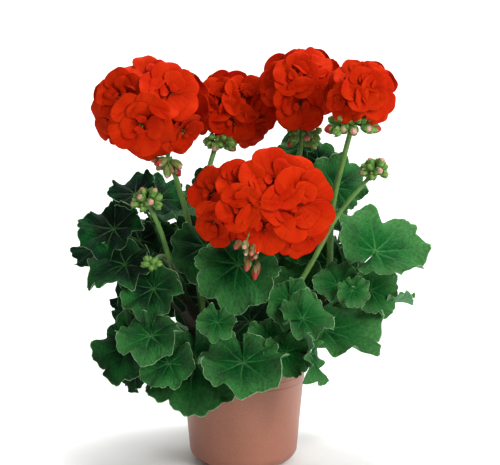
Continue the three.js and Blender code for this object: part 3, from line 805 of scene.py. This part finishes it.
def leafRise(share, degrees, bend):
    a = np.radians(degrees)
    waves = np.sin(3 * a + bend["phase"]) + 0.6 * np.sin(5 * a + 2 * bend["phase"])
    waves = leafShape["calm"] * bend["wave"] * waves
    fall = bend["droop"] * np.maximum(0, np.cos(a)) ** 2
    return bend["cup"] * share**2 + bend["fold"] * share * np.abs(np.sin(a)) + (waves - fall) * share**2.4


def leafFrame(face, tip):
    turn, up = (math.radians(a) for a in face)
    normal = np.array([math.cos(up) * math.sin(turn), -math.cos(up) * math.cos(turn), math.sin(up)])
    across, rise = math.cos(math.radians(tip)), math.sin(math.radians(tip))
    ahead = unit(np.array([across, -(normal[0] * across + normal[2] * rise) / normal[1], rise]))
    return np.array([ahead, np.cross(normal, ahead), normal])


def leafSurface(at, size, axes, bend, tint):
    shape = leafShape
    degrees = np.arange(-shape["sinus"], shape["sinus"] + 0.01, shape["step"])
    share = leafRings[:, None]
    degrees = degrees * (0.975 + 0.025 * share)
    a = np.radians(degrees)
    scallop = 1 - np.abs(np.sin(np.pi * (degrees + 7.5) / shape["scallop"])) ** 0.6
    tooth = 1 - np.abs(np.sin(np.pi * degrees / shape["tooth"])) ** 0.7
    depth = shape["scallopDepth"] * (0.7 + 0.3 * np.sin(2.3 * a + bend["phase"]))
    reach = leafReach(degrees) * (1 - depth * scallop * share**4 - shape["toothDepth"] * tooth * share**9)
    reach = reach * share
    crinkled = 1 + shape["crinkle"] * max(0, 1 - size / shape["crinkleBelow"])
    relief = shape["pleat"] * np.abs(np.sin(4 * a)) * share * (1.3 - share)
    relief = relief + shape["ruffle"] * np.sin(8 * a + bend["phase"]) * share**4
    relief = relief + 0.6 * shape["ruffle"] * np.sin(13 * a + 3 * bend["phase"]) * share**6
    relief = relief * crinkled
    relief = relief + shape["lap"] * (degrees / 180) ** 5 * share
    height = leafRise(share, degrees, bend) + relief - 0.02 * np.exp(-share / 0.1) * (1 - share)
    flat = np.stack([reach * np.cos(a), reach * np.sin(a), height], -1) * size
    grid = flat @ axes + np.array(at)
    plan = flat[..., :2] / size / shape["planSpan"] + 0.5
    hub, hubPlan = np.array(at, float), np.array([0.5, 0.5])
    return bladeSurface(grid, hub, leafRings, shape["thick"], plan, hubPlan, False, "leaf", tint)


# A leaf stalk, from the stem's axis up to the underside of the blade
def leafStalkPath(at, axes, stem, lowest):
    end = np.array(at, float)
    normal, ahead = axes[2], axes[0]
    rise = max(lowest, end[2] - 0.4 * math.hypot(end[0], end[1]))
    start = stem[np.argmin(np.abs(stem[:, 2] - rise))]
    length = np.linalg.norm(end - start)
    arrive = unit(0.7 * normal + 0.5 * ahead)
    leave = 0.35 * (end - start) + np.array([0, 0, 0.1 * length])
    return bezierPath(start, start + leave, end - 0.35 * length * arrive, end - 0.4 * arrive, 18)


# How brightly lit a leaf's colour is painted: more so in front and on the right, the key lamp's side, and a
# little by chance
def leafLitShare(at, luck):
    front = min(1, max(0, -at[1] / 90))
    right = min(1, max(0, (at[0] + 110) / 230))
    return min(1, (0.15 + 0.3 * right) * luck + 0.3 * front + 0.4 * right)


stemShape = {"radius": 4.2, "taper": 0.25, "knot": 0.9, "stalk": 1.6, "sides": 12, "stalkSides": 8}


def makeLeafyStem(name, spec, number):
    stem = smoothPath(spec["path"], 14)
    girth = stemShape["radius"] * (1.04 - stemShape["taper"] * np.linspace(0, 1, len(stem)) ** 3)
    surfaces, paths = [], []
    count = len(spec["leaves"])
    for i, (at, size, face, tip, *given) in enumerate(spec["leaves"]):
        phase = 2 * math.pi * chance(number * 10 + i)
        bend = {**usualBend, "phase": phase}
        bend.update(*given)
        axes = leafFrame(face, tip)
        # The tint carries the leaf's painted light and shade, lighter in front and on the right
        tint = leafLitShare(at, chance(number * 7 + i))
        surfaces.append(leafSurface(at, size, axes, bend, tint))
        path = leafStalkPath(at, axes, stem, leafShape["soilTop"] + 8 + 6 * (count - i))
        along = np.linspace(0, 1, len(path))
        paths.append((path, stemShape["stalk"] * (1 + 0.5 * np.exp(-along / 0.08) - 0.25 * along)))
        knot = np.argmin(np.linalg.norm(stem - path[0], axis=1))
        girth = girth + stemShape["knot"] * np.exp(-(((np.arange(len(stem)) - knot) / 1.3) ** 2))
    makePiece(f"leaves_{name}", surfaces, f"stem_{name}")
    stalks = makeTubes(f"leafStalks_{name}", paths, stemShape["stalkSides"], "stem", f"stem_{name}")
    addHairs(stalks, number)
    makeTubes(f"stemAxis_{name}", [(stem, girth)], stemShape["sides"], "stem", f"stem_{name}")


print("leafy stems")
for number, (name, spec) in enumerate(leafyStems.items(), 1):
    makeLeafyStem(name, spec, number)


# The flower stalks. Those with a head end at its hub.
flowerStalks = {
    "a": [(-37, -7, 130), (-50, -10, 225), (-62, -18, 275), (-80, -24, 330)],
    "b": [(-24, -12, 178), (-40, 8, 232), (-33, 40, 286), (-14, 60, 336)],
    "c": [(36, 48, 208), (50, 40, 270), (58, 34, 322), (55, 28, 359)],
    "d": [(-22, -12, 168), (-10, -18, 212), (4, -36, 243), (18, -66, 256)],
    "e": [(83, -5, 185), (85, -22, 255), (94, -30, 300), (105, -33, 344)],
    "budsLeft": [(-60, -7, 172), (-69, -36, 204), (-77, -50, 236), (-88, -54, 262)],
    "budsSmall": [(-71, -6, 198), (-77, -30, 207), (-82, -50, 207), (-86, -60, 204)],
    "budsRight": [(43, -48, 168), (64, -42, 202), (89, -36, 247), (124, -22, 287)],
}

# Buds: how many hang or stand round the hub, how far out and how steeply, how far the hub is below the
# stalk's end, the side and the fan that they fill in degrees, how ripe they are, and how large and how slim
budPlans = {
    "a": {"count": 6, "reach": 20, "hang": 50, "below": 32, "side": 250, "fan": 280, "ripe": (0.4, 1.0),
          "scale": 1.15, "slim": 0.6},
    "b": {"count": 8, "reach": 21, "hang": 30, "below": 27, "side": 300, "fan": 260, "ripe": (0.0, 0.9),
          "scale": 1.1},
    "c": {"count": 8, "reach": 24, "hang": 40, "below": 38, "side": 270, "fan": 360, "ripe": (0.0, 0.8)},
    "d": {"count": 8, "reach": 66, "hang": 44, "below": 10, "side": 258, "fan": 24, "ripe": (0.55, 1.0),
          "slim": 1},
    "e": {"count": 12, "reach": 27, "hang": 9, "below": 13, "side": 260, "fan": 320, "ripe": (0.1, 0.8),
          "scale": 1.2},
    "budsLeft": {"count": 12, "reach": 18, "hang": -35, "below": 0, "side": 0, "fan": 360,
                 "ripe": (0.1, 0.6)},
    "budsSmall": {"count": 8, "reach": 11, "hang": -35, "below": 0, "side": 0, "fan": 360, "ripe": (0, 0.2),
                  "scale": 0.7},
    "budsRight": {"count": 12, "reach": 17, "hang": -35, "below": 0, "side": 0, "fan": 360,
                  "ripe": (0.1, 0.6)},
}

budShape = {"length": 9.5, "radius": 3.8, "stalk": 0.8, "sides": 10, "small": 0.75}


def turned(points, way, at):
    return points @ turnTo(way).T + np.array(at)


# A closed body turned round +Z from its radii and heights, with a point at both ends
def lathe(radii, heights, sides):
    a = np.arange(sides) * 2 * math.pi / sides
    rings = [
        np.stack([r * np.cos(a), r * np.sin(a), np.full(sides, z)], -1) for r, z in zip(radii, heights)
    ]
    points = np.concatenate([[[0, 0, heights[0]]], *rings, [[0, 0, heights[-1]]]])
    last = len(points) - 1
    faces = []
    for k in range(sides):
        n = (k + 1) % sides
        faces.append((0, 1 + n, 1 + k))
        for r in range(len(rings) - 1):
            base, above = 1 + r * sides, 1 + (r + 1) * sides
            faces.append((base + k, base + n, above + n, above + k))
        faces.append((last, last - sides + k, last - sides + n))
    return points, faces


# One narrow pointed sepal from the origin along +Z, at a radius from the axis and bulging by its shape
def sepal(length, width, round_, lift, finish, tint):
    rows = np.array([0.0, 0.2, 0.45, 0.7, 0.88, 1.0])
    halfWidth = width * np.array([0.55, 0.95, 1.0, 0.75, 0.4, 0.0])
    across = np.array([-1.0, -0.5, 0.0, 0.5, 1.0])
    outward = lift(rows)
    thick = 0.3
    top, low = [], []
    for s, w, out in zip(rows, halfWidth, outward):
        bow = out - 0.25 * (w * across) ** 2 / max(out, 1.0)
        line = np.stack([bow, w * across, np.full(5, s * length)], -1)
        top.append(line)
        low.append(line - np.array([thick, 0, 0]) * (1 - across[:, None] ** 2))
    points = np.concatenate([np.concatenate(top), np.concatenate(low)])
    faces = []
    shift = len(points) // 2
    for r in range(len(rows) - 1):
        for c in range(4):
            i, j = r * 5 + c, (r + 1) * 5 + c
            faces.append((i, i + 1, j + 1, j))
            faces.append((shift + i, shift + j, shift + j + 1, shift + i + 1))
    ends = [0, 1, 2, 3, 4]
    faces.append(tuple(ends[::-1]) + tuple(shift + e for e in ends[1:4]))
    a = math.radians(round_)
    turn = np.array([[math.cos(a), -math.sin(a), 0], [math.sin(a), math.cos(a), 0], [0, 0, 1]])
    return surfaceOf(points @ turn.T, faces, finish, 0, 0, tint)


def moved(surface, way, at):
    return {**surface, "points": turned(surface["points"], way, at)}


# A bud at the origin along +Z: its petals' tip in a calyx of five sepals
def budSurfaces(scale, ripe, slim):
    length = scale * budShape["length"] * (1 + 0.4 * slim)
    radius = scale * budShape["radius"] * (1 - 0.2 * slim)
    longer = 1 + 0.25 * max(0, ripe - 0.6)
    heights = np.array([0.02, 0.1, 0.25, 0.45, 0.65, 0.82, 0.93, 0.985])
    radii = np.array([0.25, 0.62, 0.9, 1.0, 0.92, 0.68, 0.4, 0.14]) * radius
    points, faces = lathe(radii, heights * length * longer, budShape["sides"])
    along = points[:, 2] / (length * longer)
    made = [surfaceOf(points, faces, "bud", along, 0, ripe)]

    def lift(rows):
        return radius * (0.3 + 0.78 * np.sin(np.pi * np.minimum(rows * 0.8 + 0.06, 1)) + 0.4 * rows**5)

    reachUp = 0.96 - 0.25 * ripe
    for k in range(5):
        made.append(sepal(length * reachUp, radius * 0.62, 72 * k, lift, "sepal", slim))
    return made


def flowerHub(name):
    path = np.array(flowerStalks[name], float)
    return path[-1] - unit(path[-1] - path[-2]) * budPlans[name]["below"]


def makeBuds(name, number):
    plan = budPlans[name]
    scale = plan.get("scale", 1)
    slim = plan.get("slim", 0)
    hub = flowerHub(name)
    surfaces, paths = [], []
    count = plan["count"]
    for i in range(2 * count):
        isSmall = i >= count
        spread = math.sqrt((i % count + 0.5) / count)
        round_ = math.radians(plan["side"] + plan["fan"] * (i * 137.5 / 360 % 1 - 0.5))
        standing = 90 + 3.2 * plan["hang"] * spread
        hanging = -plan["hang"] * (0.2 + 1.2 * chance(i + count)) + (25 * (1 - slim) if isSmall else 0)
        lift = math.radians(standing if plan["hang"] < 0 else hanging)
        level = math.cos(lift)
        way = np.array([math.cos(round_) * level, math.sin(round_) * level, math.sin(lift)])
        far = plan["reach"] * (0.78 + 0.3 * chance(2.7 * i + count)) * (0.85 if isSmall else 1)
        size = scale * (budShape["small"] if isSmall else 1)
        tip = hub + way * far
        foot = tip - way * size * budShape["length"] * (1 + 0.4 * slim)
        ripe = plan["ripe"][0] + (plan["ripe"][1] - plan["ripe"][0]) * chance(number * 30 + i)
        ripe = ripe * (0.4 + 0.4 * slim) if isSmall else ripe
        surfaces += [moved(s, way, foot) for s in budSurfaces(size, ripe, slim)]
        middle = (hub + foot) / 2 + np.array([0, 0, 0.12 * far]) * level
        path = bezierPath(hub, middle, foot - way, foot + 0.5 * way, 10)
        paths.append((path, np.linspace(1, 0.9, 10) * budShape["stalk"]))
    return surfaces, paths


# The flower heads, floret by floret: across and up as shares of the head's half width and half height, as
# seen from the front, on its near side or its far side, and the floret's size where it isn't the usual one
flowerHeads = {
    "a": {
        "at": (-87, -25, 345), "half": (58, 46, 50), "floret": 29,
        "near": [(-0.15, -0.31, 1.08), (0.48, 0.5), (0.74, -0.6, 0.8), (-0.92, -0.2, 0.85),
                 (-0.62, 0.45, 0.85), (-0.06, 0.92, 0.8), (-0.02, -0.9, 0.75)],
        "far": [(0.75, 0.3), (-0.65, 0.2), (0.1, -0.1)],
    },
    "b": {
        "at": (-10, 62, 338), "half": (42, 34, 42), "floret": 26,
        "near": [(-0.45, 0.42, 0.9), (0.4, 0.45, 0.95), (0, -0.3, 0.9), (0.9, -0.1, 0.85),
                 (-0.88, -0.1, 0.8), (0.65, -0.7, 0.75)],
        "far": [(-0.2, 0.6), (0.6, 0.3), (0.1, -0.3)],
    },
    "c": {
        "at": (55, 28, 360), "half": (42, 37, 42), "floret": 27,
        "near": [(0, -0.42, 1.02), (0.36, 0.86, 0.75), (-0.72, 0.2, 0.85), (0.78, 0, 0.85),
                 (-0.15, 0.5, 0.85)],
        "far": [(-0.3, 0.45), (0.5, 0.5), (-0.1, -0.3)],
    },
    "d": {
        "at": (17, -70, 260), "half": (74, 46, 58), "floret": 31,
        "near": [(0.6, 0.14, 1.12), (0.2, 0.66), (0.04, -0.34, 0.88), (0.7, -0.58, 0.85),
                 (-0.86, 0.36, 0.8), (-0.76, -0.32, 0.75), (-0.34, 0.58, 0.75),
                 (0.7, 0.68, 0.75), (-0.36, 0.06, 0.72)],
        "far": [(0.5, 0.2), (-0.45, 0.2)],
    },
    "e": {
        "at": (108, -34, 359), "half": (33, 32, 34), "floret": 24,
        "near": [(-0.3, 0.76, 0.75), (0.6, 0, 0.9), (-0.55, -0.2, 0.85), (0.72, -0.6, 0.7),
                 (0.1, 0.25, 0.9), (0.6, 0.66, 0.75)],
        "far": [(0.6, 0.3), (-0.4, 0.1)],
    },
}

floretShape = {
    "eye": -0.2, "thick": 0.5, "overlap": 0.1, "uneven": 0.04, "ruffle": 0.04, "roll": 1.1, "spokes": 22,
}
# A floret's layers of petals, from the outside in. A pair is a value's middle and its spread by chance, but
# draw and form only set the random draws. Open is how much higher a whole floret's rims may be by chance.
petalLayers = [
    {"count": 5, "size": (1, 0.06), "turn": (0, 8), "rim": (0.05, 0.1), "curl": (-0.15, 0.3),
     "tint": (0.5, 1), "steep": 1.7, "open": 0.1, "draw": (3.1, 1.7), "form": (0, 0.37)},
    {"count": 3, "size": (0.72, 0.16), "turn": (36, 40), "rim": (0.07, 0.1), "curl": (-0.05, 0.2),
     "tint": (0.5, 1), "steep": 1.7, "open": 0, "draw": (2.3, 2.9), "form": (5, 0.61)},
    {"count": 2, "size": (0.3, 0.1), "turn": (0, 60), "rim": (0.12, 0.2), "curl": (0.2, 0.5),
     "tint": (0.2, 0.3), "steep": 1.0, "open": 0, "draw": (1.9, 4.3), "form": (11, 0.83)},
]
petalRings = np.array([0.25, 0.5, 0.7, 0.85, 0.95, 1.0])
petalEdge = [(0, 0.42), (40, 0.47), (75, 0.54), (100, 0.53), (128, 0.43), (155, 0.43), (180, 0.54)]
petalMiddle = 0.58  # how far out a petal's middle lies, as a share of the floret's size


# One petal of a floret that opens along +Z. Its claw is at the axis and its tip at the size given. It rises
# from the eye to its rim's height and is tilted a little, so that it lies over the next one.
def petalSurface(size, round_, height, steep, curl, seed, tint):
    spokes = floretShape["spokes"]
    phi = np.arange(spokes) * 2 * math.pi / spokes
    known = np.array(petalEdge)
    edge = np.interp(np.abs((np.degrees(phi) + 180) % 360 - 180), known[:, 0], known[:, 1])
    edge = edge * (1 + floretShape["uneven"] * np.sin(3 * phi + 6 * chance(seed)))
    share = petalRings[:, None]
    x = petalMiddle + share * edge * np.cos(phi)
    y = share * edge * np.sin(phi)
    reach = np.hypot(x, y)
    ruffle = floretShape["ruffle"] * share**3
    p, q = 6.28 * chance(seed + 0.3), 6.28 * chance(seed + 0.7)
    waves = ruffle * (np.sin(3 * phi + p) + 0.6 * np.sin(5 * phi + q))

    def surfaceHeight(x, y, reach, waves):
        rise = floretShape["eye"] + (height - floretShape["eye"]) * reach**steep
        roll = floretShape["roll"] * np.maximum(0, reach - 0.7) ** 2
        return rise + floretShape["overlap"] * y + curl * y**2 + waves - roll

    z = surfaceHeight(x, y, reach, waves)
    a = math.radians(round_)
    turn = np.array([[math.cos(a), math.sin(a), 0], [-math.sin(a), math.cos(a), 0], [0, 0, 1]])
    grid = np.stack([x, y, z], -1) @ turn * size
    hub = np.array([petalMiddle, 0, surfaceHeight(petalMiddle, 0, petalMiddle, 0)]) @ turn * size
    plan = np.stack([x, y + 0.5], -1)
    hubPlan = np.array([petalMiddle, 0.5])
    return bladeSurface(grid, hub, petalRings, floretShape["thick"], plan, hubPlan, True, "petal", tint)


def floretSurfaces(size, seed):
    twist = 360 / petalLayers[0]["count"] * chance(seed)
    made = []
    for layer in petalLayers:
        for k in range(layer["count"]):
            start = seed * layer["draw"][0] + k * layer["draw"][1]
            values = []
            for j, key in enumerate(("size", "turn", "rim", "curl", "tint")):
                middle, spread = layer[key]
                values.append(middle + spread * (chance(start + j) - 0.5))
            share, turn, rim, curl, tint = values
            rim = rim + layer["open"] * chance(seed + 1)
            form = seed + layer["form"][0] + k * layer["form"][1]
            round_ = twist + 360 / layer["count"] * k + turn
            made.append(petalSurface(size * share, round_, rim, layer["steep"], curl, form, tint))
    return made


# How far out the florets sit, as a share of the head's half sizes, and how they lean to the front or back
headShape = {"spread": 0.74, "lean": 0.4, "inner": 5, "innerSpread": 0.5, "innerSize": 0.8}


def floretSpot(head, spot, side):
    across, up = spot[:2]
    near = math.sqrt(max(0, 1 - across**2 - up**2))
    direction = unit(np.array([across, side * near, up]))
    half = np.array(head["half"], float)
    way = unit(direction / half) + np.array([0, headShape["lean"] * side, 0])
    return direction * half * headShape["spread"] + np.array(head["at"], float), unit(way)


# The inner florets fill the head's core round its sides and top, between the near ones and the far ones.
def innerSpot(head, k):
    a = math.radians(-40 + 260 * k / (headShape["inner"] - 1))
    way = np.array([math.cos(a), 0.0, math.sin(a)])
    return way * np.array(head["half"]) * headShape["innerSpread"] + np.array(head["at"], float), way


calyx = {"length": 0.34, "width": 1.5, "radius": 1.4}


def makeHead(name, number):
    head = flowerHeads[name]
    hub = flowerHub(name)
    petals, greens, paths = [], [], []
    spots = [(spot, -1) for spot in head["near"]] + [(spot, 1) for spot in head["far"]]
    places = [(*floretSpot(head, spot, side), spot[2] if len(spot) > 2 else 1) for spot, side in spots]
    places += [(*innerSpot(head, k), headShape["innerSize"]) for k in range(headShape["inner"])]
    for i, (at, way, scale) in enumerate(places):
        size = head["floret"] * scale
        petals += [moved(s, way, at) for s in floretSurfaces(size, number * 20 + i)]
        base = at + way * size * (floretShape["eye"] - 0.06)
        foot = base - way * size * 0.16

        def lift(rows):
            return calyx["radius"] + 2.2 * rows**1.5

        for k in range(5):
            leaf = sepal(size * calyx["length"], calyx["width"], 72 * k, lift, "sepal", 0)
            greens.append(moved(leaf, way, foot))
        path = bezierPath(hub, hub * 0.55 + foot * 0.45 + np.array([0, 0, 3.0]), foot - way * 6, base, 12)
        paths.append((path, np.linspace(0.8, 1.1, 12)))
    makePiece(f"florets_{name}", petals, f"head_{name}")
    return greens, paths


stalkShape = {"radius": 2.8, "young": 0.8, "taper": 0.22, "flare": 0.35, "sides": 14, "pedicelSides": 6}


def makeStalk(name, number):
    path = smoothPath(flowerStalks[name], 14)
    end = flowerHub(name)
    keep = np.cumsum(np.append(0, np.linalg.norm(np.diff(path, axis=0), axis=1)))
    total = keep[-1] - budPlans[name]["below"]
    path = np.concatenate([path[keep < total - 2], [end]])
    along = np.linspace(0, 1, len(path))
    radius = stalkShape["radius"] * (1 if name in flowerHeads else stalkShape["young"])
    flare = stalkShape["flare"] * np.exp(-(1 - along) / 0.02)
    girth = radius * (1.1 - stalkShape["taper"] * along + flare)
    node = f"stalk_{name}"
    stalk = makeTubes(f"flowerStalk_{name}", [(path, girth)], stalkShape["sides"], "stalk", node)
    addHairs(stalk, 50 + number)
    surfaces, paths = makeBuds(name, number)
    if name in flowerHeads:
        greens, more = makeHead(name, number)
        surfaces += greens
        paths += more
    makePiece(f"buds_{name}", surfaces, node)
    thin = makeTubes(f"pedicels_{name}", paths, stalkShape["pedicelSides"], "stalk", node)
    addHairs(thin, 80 + number)


print("flower stalks, buds and heads")
for number, name in enumerate(flowerStalks, 1):
    makeStalk(name, number)


# An outline with an arc of the radius given at each inner corner
def rounded(corners, steps=4):
    made = [corners[0][:2]]
    for before, (r, z, radius), after in zip(corners, corners[1:], corners[2:]):
        here = np.array([r, z])
        back, on = unit(np.array(before[:2]) - here), unit(np.array(after[:2]) - here)
        for t in np.linspace(0, 1, steps + 1):
            made.append(tuple(here + radius * (back * (1 - t) ** 2 + on * t**2)))
    made.append(corners[-1][:2])
    return np.array(made)


# The pot, turned from its outline, with its drainage holes cut through
def potOutline():
    p = pot
    under = p["height"] - p["band"]
    low = under - p["collar"]
    ring = p["neck"] + p["collarStep"]
    return rounded([
        (0.01, 0, 0), (p["foot"], 0, 1.5), (p["heel"], p["heelHeight"], 3),
        (p["corner"], p["cornerHeight"], 3),
        (p["neck"], low, 0.25), (ring, low, 0.25), (ring, under, 0.2), (p["rim"], under, 0.3),
        (p["rim"], p["height"], 0.8), (p["rim"] - p["wall"], p["height"], 0.8),
        (p["rim"] - p["wall"] - 0.2, under, 3), (p["corner"] - p["wall"], p["cornerHeight"], 3),
        (p["foot"], p["floor"], 3), (0.01, p["floor"], 0),
    ])


def makePot():
    outline = potOutline()
    shell, faces = lathe(outline[:, 0], outline[:, 1], pot["sides"])
    piece = addObject("potShell", newMesh("potShell", shell, faces))
    cutters = []
    for i in range(pot["holes"]):
        a = 2 * math.pi * i / pot["holes"]
        points, sides = lathe([pot["holeRadius"]] * 2, [-3, 3 * pot["floor"]], 24)
        points = points + np.array([pot["holeRing"] * math.cos(a), pot["holeRing"] * math.sin(a), 0])
        cutters.append(surfaceOf(points, sides, "pot"))
    tool = addObject("holes", newMesh("holes", *joined(cutters)))
    modifier = piece.modifiers.new("holes", "BOOLEAN")
    modifier.object = tool
    modifier.solver = "EXACT"
    result = bpy.data.meshes.new_from_object(piece.evaluated_get(bpy.context.evaluated_depsgraph_get()))
    piece.modifiers.remove(modifier)
    bpy.data.objects.remove(tool)
    piece.data = result
    result.shade_smooth()
    result.set_sharp_from_angle(angle=math.radians(40))
    result.materials.clear()
    result.materials.append(finishes["pot"])
    settle(piece, "pot")


soil = {
    "top": 86, "dome": 3, "bump": 1.2, "gap": 0.6, "rings": 26, "sides": 96,
    "crumbs": 90000, "crumbSize": 1.5, "perlite": 5000, "perliteSize": 1.6, "seed": 4,
}


def makeSoil():
    slope = (pot["rim"] - pot["corner"]) / (pot["height"] - pot["band"] - pot["cornerHeight"])
    low = pot["corner"] - pot["wall"] - soil["gap"]
    edge = low + slope * (soil["top"] - pot["cornerHeight"])
    shares = np.linspace(1, 0.02, soil["rings"])
    radii = [0.01, pot["foot"] - soil["gap"], low, *(edge * shares)]
    dome = soil["top"] + soil["dome"] * (1 - shares**2)
    heights = [pot["floor"] + 0.35, pot["floor"] + 0.35, pot["cornerHeight"], *dome]
    points, faces = lathe(radii, heights, soil["sides"])
    x, y, z = points.T
    broad = np.sin(0.31 * x + 1) * np.cos(0.27 * y)
    lumps = broad + 0.5 * np.sin(0.83 * x + 0.4 * y) * np.cos(0.71 * y - 0.2 * x)
    brim = soil["top"] + 0.2
    onTop = z > brim
    points[:, 2] = z + np.where(onTop, soil["bump"] * lumps, 0)
    makePiece("pottingSoil", [surfaceOf(points, faces, "soil")], "soil")
    topFaces = [f for f in faces if all(z[i] > brim for i in f)]
    surface = newMesh("soilTop", points, topFaces)
    for name, density, size, finish in (
        ("crumbs", soil["crumbs"], soil["crumbSize"], "soil"),
        ("perlite", soil["perlite"], soil["perliteSize"], "perlite"),
    ):
        seed = soil["seed"] + len(name)
        values = {"Density": density, "Size": size * metre, "Seed": seed, "Finish": finishes[finish]}
        settle(runTree(name, surface.copy(), trees["crumb"], values), None)


print("pot and soil")
makePot()
makeSoil()

print("finished")
